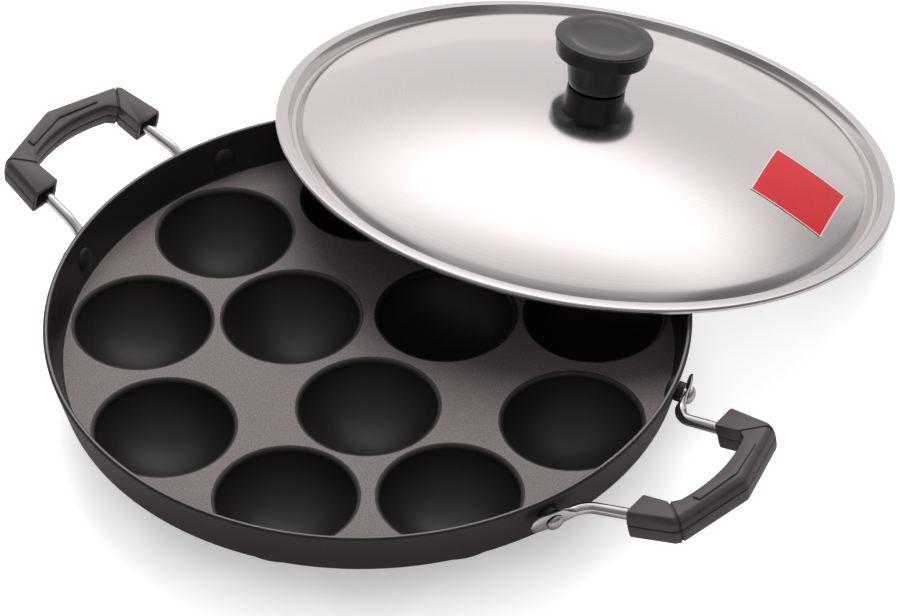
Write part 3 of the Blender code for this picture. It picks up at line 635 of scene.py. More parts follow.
def sweep(bm, stations, segments=20):
    """Draws a ring of unit radius through a list of matrices and closes both ends."""
    ring = bmesh.ops.create_circle(bm, segments=segments, radius=1, cap_ends=False)["verts"]
    bmesh.ops.transform(bm, matrix=stations[0], verts=ring)
    edges = list({edge for vert in ring for edge in vert.link_edges})
    bmesh.ops.edgeloop_fill(bm, edges=edges)
    for before, after in zip(stations, stations[1:]):
        made = bmesh.ops.extrude_edge_only(bm, edges=edges)["geom"]
        ring = [item for item in made if isinstance(item, bmesh.types.BMVert)]
        edges = [item for item in made if isinstance(item, bmesh.types.BMEdge)
                 and all(vert in ring for vert in item.verts)]
        bmesh.ops.transform(bm, matrix=after @ before.inverted(), verts=ring)
    bmesh.ops.edgeloop_fill(bm, edges=edges)


def station(place, tangent, up, width, height):
    """Matrix of a swept ring: across the path by width, along up by height."""
    forward = tangent.normalized()
    upright = (up - forward * up.dot(forward)).normalized()
    turn = frame_matrix(upright.cross(forward), upright, forward, place)
    return turn @ Matrix.Diagonal((width, height, 1, 1))


def share_done(distance, start, stretch):
    """Share, from 0 to 1, of a change that starts at a distance and takes a stretch."""
    return min(max((distance - start) / stretch, 0), 1)


def eased(distance, start, stretch):
    """The same share with a soft start and end."""
    part = share_done(distance, start, stretch)
    return part * part * (3 - 2 * part)


def wire_size(distance):
    """Half thickness and half height of a wire at a distance from its tip."""
    handle = settings().handle
    radius, tall = handle.wire_radius, handle.eyelet_height / 2
    flat = EYELET_THICKNESS / 2
    if distance < tall:
        share = max(1 - distance / tall, 0)
        return flat * (1 - 0.5 * share ** 6), tall * math.sqrt(1 - share ** 2) + 0.0001
    thick, narrow = eased(distance, *ROD_THICKENING), eased(distance, *ROD_NARROWING)
    return flat + (radius - flat) * thick, tall + (radius - tall) * narrow


def wire_stations(angle, grip_angle, height):
    """Rings of a whole wire, from the tip of one eyelet round through the grip to the other."""
    grip = handle_frame(grip_angle)
    ends, ups = [], []
    knee = [ROD_KNEE_RADIUS] if height < RIVET_HEIGHT else []
    reach = settings().handle.eyelet_length / 2 + EYELET_OVERHANG
    tip_out, tip_height = reach * math.cos(EYELET_LEAN), EYELET_CENTRE - reach * math.sin(EYELET_LEAN)
    for side, rivet_angle in ((-1, angle - RIVET_SPREAD), (1, angle + RIVET_SPREAD)):
        rivet = rivet_frame(rivet_angle, height)
        tip = Vector((side * tip_out, 0, tip_height))
        bend = Vector((-side * ROD_BEND_DISTANCE, 0, EYELET_CENTRE))
        end = [rivet @ tip, rivet @ Vector((0, 0, EYELET_CENTRE)), rivet @ bend]
        corner = grip @ Vector((ROD_CROSS, side * ROD_ARM_DISTANCE, 0))
        if knee:
            end.append((rivet_frame(rivet_angle, RIVET_HEIGHT) @ bend).lerp(corner, ROD_KNEE_SHARE))
        ends.append(end + [corner])
        ups.append(rivet.to_3x3() @ Vector((0, 1, 0)))
    radii = [EYELET_BEND_RADIUS, ROD_BEND_RADIUS] + knee + [ROD_CORNER_RADIUS]
    corners = fillet_path(ends[0] + ends[1][::-1], radii + radii[::-1], 14)
    path = [corners[0]]
    for place in corners[1:]:
        count = max(1, round((place - path[-1]).length / ROD_STEP))
        start = path[-1]
        path += [start.lerp(place, (i + 1) / count) for i in range(count)]
    total = sum((after - before).length for before, after in zip(path, path[1:]))
    grip_up = grip.to_3x3() @ Vector((0, 0, 1))
    travelled, rings = 0.0, []
    for index, place in enumerate(path):
        before, after = path[max(index - 1, 0)], path[min(index + 1, len(path) - 1)]
        travelled += (place - before).length
        distance = min(travelled, total - travelled)
        up = ups[0 if travelled < total / 2 else 1].lerp(grip_up, share_done(distance, *ROD_TWIST))
        rings.append(station(place, after - before, up, *wire_size(distance)))
    return rings


class PANIYARAM_OT_wires(bpy.types.Operator):
    """Bends the two bright wires and flattens their ends into eyelets"""

    bl_idname = "paniyaram.wires"
    bl_label = "Bend Wires"

    def execute(self, context):
        material = metal_material("bright wire", settings().finish.chrome, 0.1, 400, 0.000003)
        for name, (angle, grip_angle, height) in HANDLES.items():
            bm = bmesh.new()
            sweep(bm, wire_stations(angle, grip_angle, height))
            close_piece(bm, 40)
            finish_piece(f"{name}_wire", bm, [material], "pan", [f"{name}_handle_rod"])
        return {"FINISHED"}


def rivet_profile():
    """Section of a set rivet: outer dome, shank and inner dome."""
    handle = settings().handle
    pan = settings().pan
    outer = EYELET_CENTRE + EYELET_THICKNESS / 2 + CLEARANCE / 3
    inner = -(pan.wall_thickness * math.cos(pan.wall_flare) + CLEARANCE / 3)
    dome = [(x, outer + z * RIVET_DOME_SHARE) for x, z in arc((0, 0), handle.rivet_radius, 90, 0, 10)]
    head = [(x, inner + z * INNER_HEAD_SHARE) for x, z in arc((0, 0), handle.inner_head_radius, 0, -90, 10)]
    return dome + [(RIVET_SHANK_RADIUS, outer), (RIVET_SHANK_RADIUS, inner)] + head


def spacer_profile():
    """Section of a spacer, its bore and its rounded edges, as a closed chain."""
    low, high, soft, bore = CLEARANCE / 3, SPACER_LENGTH, SPACER_ROUNDING, SPACER_BORE_RADIUS
    side = settings().handle.spacer_radius - soft
    outside = arc((side, high - soft), soft, 90, 0, 3) + arc((side, low + soft), soft, 0, -90, 3)
    return [(bore, high)] + outside + [(bore, low), (bore, high)]


class PANIYARAM_OT_rivets(bpy.types.Operator):
    """Sets the four rivets and their black spacers in the pan's wall"""

    bl_idname = "paniyaram.rivets"
    bl_label = "Set Rivets"

    def execute(self, context):
        finish = settings().finish
        steel = metal_material("rivet steel", finish.satin, 0.28, 900, 0.000003)
        black = moulded_material("black spacer", finish.rubber, 0.45)
        for name, (angle, _, height) in HANDLES.items():
            for end, rivet_angle in (("front", angle - RIVET_SPREAD), ("rear", angle + RIVET_SPREAD)):
                place = rivet_frame(rivet_angle, height)
                bm = bmesh.new()
                spin_profile(bm, rivet_profile(), 40)
                for face in bm.faces:
                    inside = face.calc_center_median().z < -settings().pan.wall_thickness
                    face.material_index = 1 if inside else 0
                close_piece(bm, 50, place)
                finish_piece(f"{name}_rivet_set_{end}", bm, [steel, black], "pan",
                             [f"{name}_rivet_{end}"])
                bm = bmesh.new()
                spin_profile(bm, spacer_profile(), 40)
                close_piece(bm, 40, place)
                finish_piece(f"{name}_spacer_ring_{end}", bm, [black], "pan",
                             [f"{name}_spacer_{end}"])
        return {"FINISHED"}


def rounded_outline(points, radii, steps=6):
    """Rounds the corners of a closed outline, each by its own radius, and gives its points in order."""
    outline = []
    for index, (corner, radius) in enumerate(zip(points, radii)):
        if radius == 0:
            outline.append(Vector(corner))
            continue
        before, after = points[index - 1], points[(index + 1) % len(points)]
        centre, start, end = corner_arc(Vector(before), Vector(corner), Vector(after), radius)
        turn = start.angle_signed(end)
        outline += [centre + Matrix.Rotation(-turn * i / steps, 2) @ start for i in range(steps + 1)]
    return outline


# Grip outline, in the handle's frame: u outwards, v sideways
GRIP_BAR_INNER = 0.0387
GRIP_BOW = 0.0038
GRIP_BOW_STEPS = 8
GRIP_BOW_END = 0.0022
GRIP_ARM_START = 0.0224
GRIP_ARM_INNER = 0.0215
GRIP_ARM_OUTER = 0.0338
GRIP_CORNER = (0.0328, 0.0215)
GRIP_SHOULDER = (0.0403, 0.0311)
GRIP_CUT = (0.0427, 0.0292)
GRIP_OUTER = 0.0505
PAD_NEAR = 0.0434
PAD_WIDTH = 0.0036
PAD_SLANT = 0.215
PAD_HALF_LENGTH = 0.0173
PAD_ROOT = 0.0012
PAD_ROUNDING = 0.0006
PAD_BEND_ROUNDING = 0.004
POCKET_DEPTH = 0.0035
POCKET_WALL = 0.0017
POCKET_ROUNDING = 0.0008

# How the insets act on the bow, the inner corner, the shoulder and the cut, and how each corner is rounded
BOW_FADE = 0.45
CORNER_SHARE = 0.45
SHOULDER_SHARE = 0.25
CUT_SHARES = (0.85, 0.3)
GRIP_ROUNDINGS = [0.0016, 0.0004, 0.0004, 0.0012, 0.0012]
GRIP_OUTER_ROUNDING = 0.005

# Creases: where a grip's corner is cut across, from the crease's middle, and the widths of its bed and bottom
CREASE_CUTS = (-0.00055, -0.0003, 0.0, 0.0003, 0.00055)
CREASE_BED = 0.0004
CREASE_BOTTOM = 0.0001
CREASE_OVERHANG = 0.0008
PARTING_ZONE = 0.0006

# Each half, from the parting line: height, then insets of the bar's inner edge, of an arm's inner and outer
# edge, and of the bar's outer edge
GRIP_UPPER = (
    (0.00010, 0.00040, 0.00040, 0.00040, 0.00040),
    (0.00028, 0.00008, 0.00006, 0.00008, 0.00010),
    (0.00042, 0.0, 0.0, 0.0, 0.00002),
    (0.00180, 0.0001, 0.00005, 0.0002, 0.0002),
    (0.00290, 0.00022, 0.0001, 0.00045, 0.00042),
    (0.00330, 0.0003, 0.00012, 0.0006, 0.0006),
    (0.00370, 0.00042, 0.00014, 0.0008, 0.00095),
    (0.00440, 0.0007, 0.00018, 0.00115, 0.0017),
    (0.00482, 0.00105, 0.00025, 0.0014, 0.0022),
    (0.00506, 0.0014, 0.0004, 0.0017, 0.00265),
    (0.00520, 0.0020, 0.0008, 0.0022, 0.0032),
)
GRIP_LOWER = (
    (-0.00010, 0.00040, 0.00040, 0.00040, 0.00040),
    (-0.00028, 0.00008, 0.00008, 0.00008, 0.00010),
    (-0.00042, 0.0, 0.0, 0.0, 0.00002),
    (-0.00260, 0.0001, 0.0001, 0.00005, 0.0002),
    (-0.00430, 0.0003, 0.0002, 0.0002, 0.0005),
    (-0.00492, 0.0005, 0.0004, 0.0004, 0.0008),
    (-0.00513, 0.0008, 0.0007, 0.0007, 0.0011),
    (-0.00520, 0.0013, 0.0012, 0.0012, 0.0016),
)


def grip_outline(inner, arm_in, arm_out, outer):
    """Outline of a grip at one height, drawn in by the four insets."""
    half = []
    for i in range(GRIP_BOW_STEPS + 1):
        v = (GRIP_CORNER[1] - GRIP_BOW_END) * i / GRIP_BOW_STEPS
        bow = GRIP_BOW * (v / GRIP_ARM_INNER) ** 2
        fade = 1 - BOW_FADE * (v / GRIP_ARM_INNER) ** 2
        half.append((GRIP_BAR_INNER - bow + inner * fade, v))
    side = [
        (GRIP_ARM_START, GRIP_ARM_INNER + arm_in),
        (GRIP_ARM_START, GRIP_ARM_OUTER - arm_out),
        (GRIP_SHOULDER[0] - SHOULDER_SHARE * outer, GRIP_SHOULDER[1] - arm_out),
        (GRIP_CUT[0] - CUT_SHARES[0] * outer, GRIP_CUT[1] - CUT_SHARES[1] * outer),
    ]
    corner = (GRIP_CORNER[0] + inner * CORNER_SHARE, GRIP_ARM_INNER + arm_in)
    right = half[1:] + [corner] + side
    radii = [0] * GRIP_BOW_STEPS + GRIP_ROUNDINGS
    points = [half[0]] + right + [(GRIP_OUTER - outer, 0)] + [(u, -v) for u, v in right[::-1]]
    return rounded_outline(points, [0] + radii + [GRIP_OUTER_ROUNDING] + radii[::-1])


def stack_outlines(bm, levels):
    """Joins closed outlines at rising heights into one body with flat ends."""
    loops = []
    for height, outline in levels:
        ring = [bm.verts.new((point[0], point[1], height)) for point in outline]
        loops.append([bm.edges.new((vert, ring[i - 1])) for i, vert in enumerate(ring)])
    for below, above in zip(loops, loops[1:]):
        bmesh.ops.bridge_loops(bm, edges=below + above)
    for loop in (loops[0], loops[-1]):
        bmesh.ops.edgeloop_fill(bm, edges=loop)


def carve(piece, bm, operation="DIFFERENCE"):
    """Cuts a closed body out of a piece, or joins it to the piece."""
    mesh = bpy.data.meshes.new("cutter")
    bm.to_mesh(mesh)
    bm.free()
    cutter = bpy.data.objects.new("cutter", mesh)
    bpy.context.scene.collection.objects.link(cutter)
    cut = piece.modifiers.new("cut", "BOOLEAN")
    cut.operation = operation
    cut.solver = "EXACT"
    cut.object = cutter
    depsgraph = bpy.context.evaluated_depsgraph_get()
    made = bpy.data.meshes.new_from_object(piece.evaluated_get(depsgraph))
    piece.modifiers.remove(cut)
    piece.data = made
    bpy.data.objects.remove(cutter, do_unlink=True)


def pad_outline(inset):
    """Outline of the raised pad, a strip bent in its middle, drawn in by an inset."""
    half = PAD_HALF_LENGTH - inset
    near = [(PAD_NEAR + inset - PAD_SLANT * abs(v), v) for v in (-half, 0, half)]
    far = [(PAD_NEAR + PAD_WIDTH - inset - PAD_SLANT * abs(v), v) for v in (half, 0, -half)]
    return rounded_outline(near + far, [PAD_ROUNDING, PAD_BEND_ROUNDING, PAD_ROUNDING] * 2)


def stacked_body(levels):
    """A closed body from its outlines at rising heights."""
    bm = bmesh.new()
    stack_outlines(bm, levels)
    tidy_shell(bm)
    return bm


def pad_body():
    """The raised pad, from its root inside the grip to its rounded top."""
    top = settings().handle.half_height
    rise = settings().handle.pad_height
    shares = ((0, 0), (0.6, 0.0001), (0.88, 0.00024), (1, 0.0005))
    levels = [(top + rise * share, pad_outline(inset)) for share, inset in shares]
    return stacked_body([(top - PAD_ROOT, pad_outline(-0.00012))] + levels)


def cut_pockets(piece, place):
    """Cuts the open pocket into the end of each arm."""
    for side in (-1, 1):
        bm = bmesh.new()
        bmesh.ops.create_cube(bm, size=1)
        width = GRIP_ARM_OUTER - GRIP_ARM_INNER - 2 * POCKET_WALL
        size = (POCKET_DEPTH * 2, width, 2 * (settings().handle.half_height - POCKET_WALL))
        bmesh.ops.scale(bm, vec=size, verts=bm.verts)
        bmesh.ops.bevel(bm, geom=bm.edges, offset=POCKET_ROUNDING, segments=3, profile=0.5, affect="EDGES",
                        material=-1)
        middle = (GRIP_ARM_START, side * (GRIP_ARM_INNER + GRIP_ARM_OUTER) / 2, 0)
        bmesh.ops.translate(bm, vec=middle, verts=bm.verts)
        bmesh.ops.transform(bm, matrix=place, verts=bm.verts)
        carve(piece, bm)


def crease_corners(bm):
    """Presses a crease across each corner of a grip's half."""
    depth = settings().handle.crease_depth
    for side in (-1, 1):
        inner = Vector((GRIP_CORNER[0], side * GRIP_CORNER[1], 0))
        outer = Vector((GRIP_CUT[0] + CREASE_OVERHANG, side * (GRIP_CUT[1] + CREASE_OVERHANG), 0))
        along = (outer - inner).normalized()
        across = Vector((-along.y, along.x, 0))
        middle = (inner + outer) / 2
        for shift in CREASE_CUTS:
            bmesh.ops.bisect_plane(bm, geom=bm.verts[:] + bm.edges[:] + bm.faces[:], dist=0.000001,
                                   plane_co=middle + across * shift, plane_no=across)
        for vert in bm.verts:
            offset = abs((vert.co - middle).dot(across))
            if vert.co.y * side > 0 and offset < CREASE_BED:
                press = depth if offset < CREASE_BOTTOM else depth * 0.75
                reach = (vert.co - middle).dot(along)
                if abs(vert.co.z) > PARTING_ZONE:
                    vert.co.z -= math.copysign(press, vert.co.z)
                vert.co -= along * math.copysign(press, reach)


class PANIYARAM_OT_grips(bpy.types.Operator):
    """Moulds both halves of each grip, with its raised pad, creased corners and open arm ends"""

    bl_idname = "paniyaram.grips"
    bl_label = "Mould Grips"

    def execute(self, context):
        material = moulded_material("moulded grip", settings().finish.bakelite, 0.4, gloss=0.85)
        for name, (_, grip_angle, _) in HANDLES.items():
            place = handle_frame(grip_angle)
            for half, rows in (("upper", GRIP_UPPER), ("lower", GRIP_LOWER)):
                bm = stacked_body([(height, grip_outline(*insets)) for height, *insets in rows])
                crease_corners(bm)
                bmesh.ops.recalc_face_normals(bm, faces=bm.faces)
                bmesh.ops.transform(bm, matrix=place, verts=bm.verts)
                piece = finish_piece(f"{name}_grip_{half}_half", bm, [material], "pan",
                                     [f"{name}_grip_{half}"])
                if half == "upper":
                    pad = pad_body()
                    bmesh.ops.transform(pad, matrix=place, verts=pad.verts)
                    carve(piece, pad, "UNION")
                cut_pockets(piece, place)
                shade = bmesh.new()
                shade.from_mesh(piece.data)
                set_smooth(shade, 32)
                shade.to_mesh(piece.data)
                shade.free()
        return {"FINISHED"}


# Lid section, in the lid's frame
FLANGE_WIDTH = 0.0046
FLANGE_RISE = 0.0002
FLANGE_FALL = 0.0004
SHOULDER_RADIUS = 0.0085
HEM_DROP = 0.002
HEM_ROUNDING = 0.0011
GROOVE_FLOOR_WIDTH = 0.0015
GROOVE_OUTER_SLOPE = 0.0012
GROOVE_INNER_SLOPE = 0.0026
DOME_EDGE_DROP = 0.0005
DOME_STEPS = 33
LID_HOLE_RADIUS = 0.0027

# Knob section, in the lid's frame, and the label's place on the dome
KNOB_DISH_RADIUS = 0.0132
KNOB_EDGE_ROUNDING = 0.0007
KNOB_BORE_RADIUS = 0.004
KNOB_BORE_DEPTH = 0.012
LABEL_CENTRE = (0.0192, -0.0829, 0)
LABEL_TURN = math.radians(17)
LABEL_BORDER = 0.0009
LABEL_THICKNESS = 0.0002


def dome_sizes():
    """Radius of the dome's foot and of the sphere that the dome is part of."""
    lid = settings().lid
    foot = (lid.radius - FLANGE_WIDTH - lid.steel - GROOVE_OUTER_SLOPE - GROOVE_FLOOR_WIDTH
            - GROOVE_INNER_SLOPE)
    rise = lid.dome_height + DOME_EDGE_DROP
    return foot, (foot ** 2 + rise ** 2) / (2 * rise)


def dome_height(distance):
    """Height of the dome's top face at a distance from the lid's axis."""
    lid = settings().lid
    _, sphere = dome_sizes()
    return lid.dome_height - sphere + math.sqrt(sphere ** 2 - distance ** 2)


def soft_chain(points, radii, steps):
    """Rounds the inner corners of an open chain in the profile's plane."""
    chain = fillet_path([Vector((x, z, 0)) for x, z in points], radii, steps)
    return [(point.x, point.y) for point in chain]


def lid_top():
    """Section of the lid's top face, from the hole over the dome and groove to the hem's foot."""
    lid = settings().lid
    foot, _ = dome_sizes()
    radii = [LID_HOLE_RADIUS + (foot - LID_HOLE_RADIUS) * i / DOME_STEPS for i in range(DOME_STEPS)]
    dome = [(radius, dome_height(radius)) for radius in radii]
    inner = foot + GROOVE_INNER_SLOPE
    outer = inner + GROOVE_FLOOR_WIDTH
    flange = outer + GROOVE_OUTER_SLOPE + lid.steel
    corners = [dome[-1], (foot, -DOME_EDGE_DROP), (inner, -lid.groove_depth), (outer, -lid.groove_depth),
               (flange, FLANGE_RISE), (lid.radius, -FLANGE_FALL), (lid.radius, -HEM_DROP)]
    return dome[:-1] + soft_chain(corners, (SHOULDER_RADIUS, 0.0008, 0.0006, 0.0006, HEM_ROUNDING), 7)


class PANIYARAM_OT_lid(bpy.types.Operator):
    """Presses the domed steel lid with its groove, flange and hem"""

    bl_idname = "paniyaram.lid"
    bl_label = "Press Lid"

    def execute(self, context):
        lid = settings().lid
        bm = bmesh.new()
        spin_profile(bm, lid_top(), lid.steps)
        bmesh.ops.remove_doubles(bm, verts=bm.verts, dist=MERGE_DISTANCE / 2)
        face_up(bm)
        bmesh.ops.solidify(bm, geom=bm.faces, thickness=lid.steel)
        close_piece(bm, 40, lid_frame())
        material = turned_steel("lid steel", settings().finish.stainless, 0.135, lid_frame())
        finish_piece("pressed_lid", bm, [material], "lid", ["lid_shell"])
        return {"FINISHED"}


def knob_profile():
    """Section of the knob, from the dished top over the disc, the band and the neck to the foot."""
    lid = settings().lid
    radius, top = lid.knob_radius, dome_height(0) + CLEARANCE + lid.knob_height
    foot = top - lid.knob_height
    dish, soft = KNOB_DISH_RADIUS, KNOB_EDGE_ROUNDING
    rim = [(0, top - 0.0011), (0.006, top - 0.00105), (dish - 0.0024, top - 0.0009),
           (dish - 0.0009, top - 0.0006), (dish + 0.0002, top - 0.0002), (dish + 0.0012, top - 0.00002),
           (dish + 0.0024, top)]
    disc = arc((radius - soft, top - 0.0008), soft, 80, 0, 5) + [(radius, top - 0.0012)]
    step = [(radius - 0.00012, top - 0.00135), (radius - 0.0004, top - 0.0014),
            (radius - 0.00045, top - 0.0017)]
    band = ([(0.0179, top - 0.0045)] + arc((0.0171, top - 0.0072), 0.0005, -8, -90, 4)
            + [(0.0139, top - 0.0078)])
    neck = [(0.01355, top - 0.0080), (0.0132, top - 0.0092), (0.0123, top - 0.0135), (0.0115, top - 0.0178),
            (0.0112, foot + 0.0005)]
    bore = [(KNOB_BORE_RADIUS, foot), (KNOB_BORE_RADIUS, foot + KNOB_BORE_DEPTH), (0, foot + KNOB_BORE_DEPTH)]
    return rim + disc + step + band + neck + [(0.0109, foot)] + bore


class PANIYARAM_OT_knob(bpy.types.Operator):
    """Turns the glossy knob with its dished top and flared neck"""

    bl_idname = "paniyaram.knob"
    bl_label = "Turn Knob"

    def execute(self, context):
        bm = bmesh.new()
        spin_profile(bm, knob_profile(), 96)
        close_piece(bm, 38, lid_frame())
        material = moulded_material("glossy knob", settings().finish.knob, 0.17, 0.1, 0.000003, 0.85)
        finish_piece("turned_knob", bm, [material], "lid", ["lid_knob"])
        return {"FINISHED"}


class PANIYARAM_OT_label(bpy.types.Operator):
    """Lays the blank label with its pale border on the dome"""

    bl_idname = "paniyaram.label"
    bl_label = "Lay Label"

    def execute(self, context):
        lid = settings().lid
        finish = settings().finish
        bm = bmesh.new()
        bmesh.ops.create_grid(bm, x_segments=16, y_segments=14, size=0.5)
        size = (lid.label_width - LABEL_BORDER, lid.label_height - LABEL_BORDER, 1)
        bmesh.ops.scale(bm, vec=size, verts=bm.verts)
        edge = [item for item in bm.edges if item.is_boundary]
        made = bmesh.ops.extrude_edge_only(bm, edges=edge)["geom"]
        border = [item for item in made if isinstance(item, bmesh.types.BMVert)]
        half = Vector((lid.label_width / 2, lid.label_height / 2))
        for vert in border:
            for axis in (0, 1):
                if abs(vert.co[axis]) > half[axis] - 0.0005:
                    vert.co[axis] = math.copysign(half[axis], vert.co[axis])
        for face in bm.faces:
            face.material_index = 1 if any(vert in border for vert in face.verts) else 0
        bmesh.ops.rotate(bm, matrix=Matrix.Rotation(LABEL_TURN, 3, "Z"), verts=bm.verts)
        bmesh.ops.translate(bm, vec=LABEL_CENTRE, verts=bm.verts)
        for vert in bm.verts:
            vert.co.z = dome_height(vert.co.xy.length) + CLEARANCE / 3
        face_up(bm)
        bmesh.ops.solidify(bm, geom=bm.faces, thickness=-LABEL_THICKNESS)
        close_piece(bm, 40, lid_frame())
        paper = moulded_material("blank label", finish.label, 0.42, 0.04, 0.00001)
        border = moulded_material("label border", finish.label_edge, 0.5, 0.04, 0.00001)
        finish_piece("blank_label", bm, [paper, border], "lid", ["lid_label"])
        return {"FINISHED"}


class PANIYARAM_OT_hardware(bpy.types.Operator):
    """Finishes the screws, the washer and the knob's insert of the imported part"""

    bl_idname = "paniyaram.hardware"
    bl_label = "Finish Hardware"

    def execute(self, context):
        finish = settings().finish
        steel = metal_material("screw steel", finish.satin, 0.25, 1500)
        brass = metal_material("insert brass", finish.brass, 0.3, 1500)
        materials = {"left_grip_screw": steel, "right_grip_screw": steel, "knob_washer": steel,
                     "knob_screw": steel, "knob_insert": brass}
        for name, material in materials.items():
            mesh = bpy.data.objects[name].data
            mesh.materials.clear()
            mesh.materials.append(material)
        return {"FINISHED"}


def add_lamp(name, place, size, power):
    """Hangs a square soft lamp that shines at the pan."""
    data = bpy.data.lights.new(name, "AREA")
    data.size = size
    data.energy = power
    lamp = bpy.data.objects.new(name, data)
    turn = (-Vector(place)).to_track_quat("-Z", "Y")
    lamp.matrix_world = Matrix.Translation(place) @ turn.to_matrix().to_4x4()
    lamp.visible_glossy = False
    bpy.context.scene.collection.objects.link(lamp)


# What shiny pieces mirror: a warm white; and how bright the floor is for the camera and in a mirror
MIRRORED_WHITE = (1, 0.945, 0.95, 1)
FLOOR_GLOW = 0.8
MIRRORED_FLOOR_GLOW = 0.76
PAPER = (0.8, 0.8, 0.8)

# Floor and lamps: the floor's half size and the gap under the pan, and each lamp's place and size
FLOOR_HALF_SIZE = 6
FLOOR_GAP = 0.0002
KEY_LAMP = ((0.03, 0.8, 1.02), 1.15)
FILL_LAMP = ((0.2, -1.1, 1.3), 0.9)


def studio_world(studio):
    """Soft light from all round, a lit ceiling in the reflections, and white to the camera."""
    world = bpy.data.worlds.new("studio")
    bpy.context.scene.world = world
    world.use_nodes = True
    tree = NodeTree(world.node_tree)
    tree.nodes.clear()

    def choose(factor, first, second):
        made = tree.node("MixShader")
        for socket, value in zip(made.inputs, (factor, first, second)):
            tree.feed(socket, value)
        return made.outputs[0]

    def soft_range(value, *limits):
        return tree.remap(value, *limits, interpolation="SMOOTHSTEP")

    axes = tree.node("SeparateXYZ", Vector=tree.node("TexCoord").outputs["Generated"])
    right, far = axes.outputs["X"], axes.outputs["Y"]
    right_by = tree.maths("SUBTRACT", right, studio.glow_right)
    far_by = tree.maths("SUBTRACT", far, studio.glow_far)
    cosine, sine = math.cos(studio.glow_turn), math.sin(studio.glow_turn)
    across = tree.maths("ADD", tree.maths("MULTIPLY", right_by, cosine / studio.glow_width),
                        tree.maths("MULTIPLY", far_by, sine / studio.glow_width))
    along = tree.maths("SUBTRACT", tree.maths("MULTIPLY", far_by, cosine / studio.glow_depth),
                       tree.maths("MULTIPLY", right_by, sine / studio.glow_depth))
    spread = tree.maths("ADD", tree.maths("MULTIPLY", across, across), tree.maths("MULTIPLY", along, along))
    fall = tree.maths("POWER", 1 / math.e, tree.maths("MULTIPLY", spread, spread))
    glow = tree.maths("MULTIPLY", fall, studio.glow_strength)
    sides = soft_range(tree.maths("ABSOLUTE", right), 0.5, 0.74, 1, 0.42)
    horizon = soft_range(axes.outputs["Z"], 0, 0.35, 1.06, 1)
    depth = tree.maths("MULTIPLY", soft_range(far, -0.1, 0.4, 0.5, 0.82), soft_range(far, -0.9, 0, 0.4, 1))
    walls = tree.maths("MULTIPLY", tree.maths("MULTIPLY", depth, sides), horizon)
    path = tree.node("LightPath")
    soft = tree.node("Background", Color=(1, 1, 1, 1), Strength=studio.world_strength)
    mirrored = tree.node("Background", Color=MIRRORED_WHITE, Strength=tree.maths("ADD", glow, walls))
    white = tree.node("Background", Color=(1, 1, 1, 1))
    lit = choose(path.outputs["Is Glossy Ray"], soft.outputs[0], mirrored.outputs[0])
    tree.node("OutputWorld", Surface=choose(path.outputs["Is Camera Ray"], lit, white.outputs[0]))


def floor_material():
    """White paper that keeps shadows, is white for the camera with a painted contact shadow near the pan, and
    lights the steel from afar.
    """
    made = Finish("studio paper", PAPER, 0.9)
    path = made.node("LightPath")
    mirrored = path.outputs["Is Glossy Ray"]
    distance = made.span(made.coordinates)
    place = made.node("SeparateXYZ", Vector=made.coordinates)
    aside = made.maths("DIVIDE", made.maths("ABSOLUTE", place.outputs["X"]), distance)
    behind = made.maths("DIVIDE", place.outputs["Y"], distance)
    dimmer = made.maths("MULTIPLY", made.remap(aside, 0.45, 0.75, 1, 0.4),
                        made.remap(behind, -0.7, 0.2, 0.45, 1))
    away = made.remap(distance, 0.3, 0.9, 0, 1)
    # Painted contact shadow: the floor's white glow for the camera is darkened where the pan and lid stand
    # close over it
    floor_occlusion = made.node("AmbientOcclusion", Distance=0.035)
    floor_occlusion.samples = 8
    painted_contact_shadow = made.remap(floor_occlusion.outputs["AO"], 0.2, 0.8, 0.5, 1)
    mirrored_paper = made.mix(away, (0.76, 0.7, 0.7, 1), (0.1, 0.09, 0.09, 1))
    made.set("Base Color", made.mix(mirrored, (*PAPER, 1), mirrored_paper))
    made.set("Emission Color", made.mix(mirrored, (1, 1, 1, 1), MIRRORED_WHITE))
    seen = made.maths("MULTIPLY", made.remap(path.outputs["Is Camera Ray"], 0, 1, 0, FLOOR_GLOW), painted_contact_shadow)
    reflected = made.maths("MULTIPLY", made.remap(mirrored, 0, 1, 0, MIRRORED_FLOOR_GLOW),
                           made.maths("MULTIPLY", away, dimmer))
    made.set("Emission Strength", made.maths("ADD", seen, reflected))
    return made.material


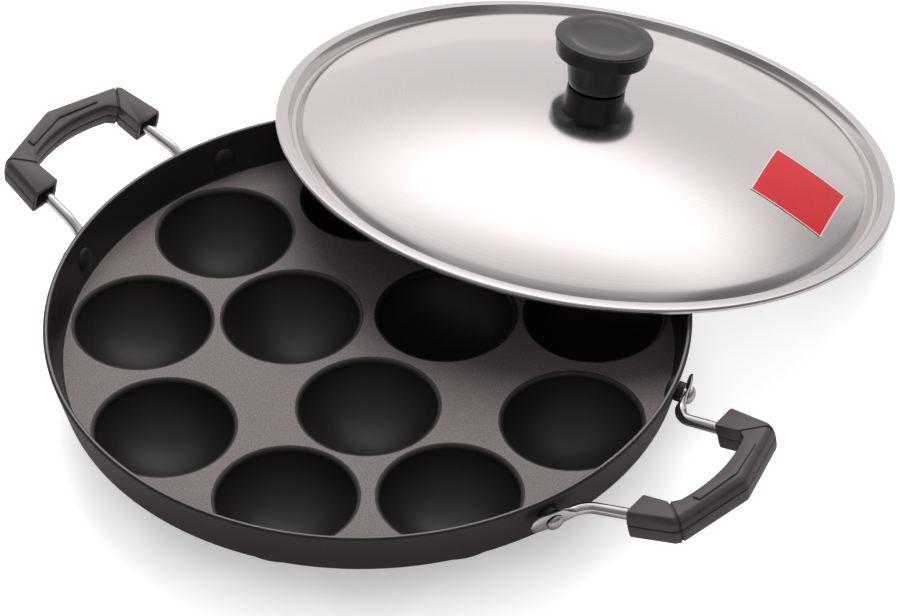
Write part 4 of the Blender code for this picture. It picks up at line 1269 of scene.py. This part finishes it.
class PANIYARAM_OT_studio(bpy.types.Operator):
    """Lays the pale floor, hangs the soft lamps and sets up the camera"""

    bl_idname = "paniyaram.studio"
    bl_label = "Set Studio"

    def execute(self, context):
        studio = settings().studio
        scene = bpy.context.scene
        bm = bmesh.new()
        bmesh.ops.create_grid(bm, x_segments=1, y_segments=1, size=FLOOR_HALF_SIZE)
        bmesh.ops.translate(bm, vec=(0, 0, FLOOR_Z - FLOOR_GAP), verts=bm.verts)
        mesh = bpy.data.meshes.new("studio_floor")
        bm.to_mesh(mesh)
        bm.free()
        mesh.materials.append(floor_material())
        floor = bpy.data.objects.new("studio_floor", mesh)
        scene.collection.objects.link(floor)
        add_lamp("key_lamp", *KEY_LAMP, studio.key_power)
        add_lamp("fill_lamp", *FILL_LAMP, studio.fill_power)
        studio_world(studio)
        camera = bpy.data.cameras.new("camera")
        camera.lens = studio.camera_lens
        camera.sensor_width = 36
        camera.clip_end = 20
        holder = bpy.data.objects.new("camera", camera)
        pitch, roll = studio.camera_pitch, studio.camera_roll
        look = Vector((0, math.cos(pitch), -math.sin(pitch)))
        right = Vector((1, 0, 0))
        up = right.cross(look)
        side = right * math.cos(roll) + up * math.sin(roll)
        top = up * math.cos(roll) - right * math.sin(roll)
        holder.matrix_world = frame_matrix(side, top, -look, Vector(studio.camera_place))
        scene.collection.objects.link(holder)
        scene.camera = holder
        scene.view_settings.view_transform = "Standard"
        return {"FINISHED"}


OPERATORS = (PANIYARAM_OT_pan, PANIYARAM_OT_wires, PANIYARAM_OT_rivets, PANIYARAM_OT_grips, PANIYARAM_OT_lid,
             PANIYARAM_OT_knob, PANIYARAM_OT_label, PANIYARAM_OT_hardware, PANIYARAM_OT_studio)


class PANIYARAM_PT_panel(bpy.types.Panel):
    """Lists the steps that build the pan"""

    bl_idname = "PANIYARAM_PT_panel"
    bl_label = "Paniyaram Pan"
    bl_space_type = "VIEW_3D"
    bl_region_type = "UI"
    bl_category = "Paniyaram Pan"

    def draw(self, context):
        for operator in OPERATORS:
            self.layout.operator(operator.bl_idname)


CLASSES = (PaniyaramPanSizes, PaniyaramHandleSizes, PaniyaramLidSizes, PaniyaramFinishes, PaniyaramStudio,
           PaniyaramSettings, *OPERATORS, PANIYARAM_PT_panel)


def register():
    """Registers the classes and hangs the settings on the scene."""
    for item in CLASSES:
        bpy.utils.register_class(item)
    bpy.types.Scene.paniyaram = PointerProperty(type=PaniyaramSettings)


def unregister():
    """Takes the settings off the scene and the classes out again."""
    del bpy.types.Scene.paniyaram
    for item in reversed(CLASSES):
        bpy.utils.unregister_class(item)


def main():
    """Builds the whole scene."""
    register()
    bpy.ops.paniyaram.pan()
    bpy.ops.paniyaram.wires()
    bpy.ops.paniyaram.rivets()
    bpy.ops.paniyaram.grips()
    bpy.ops.paniyaram.lid()
    bpy.ops.paniyaram.knob()
    bpy.ops.paniyaram.label()
    bpy.ops.paniyaram.hardware()
    bpy.ops.paniyaram.studio()


if __name__ == "__main__":
    main()
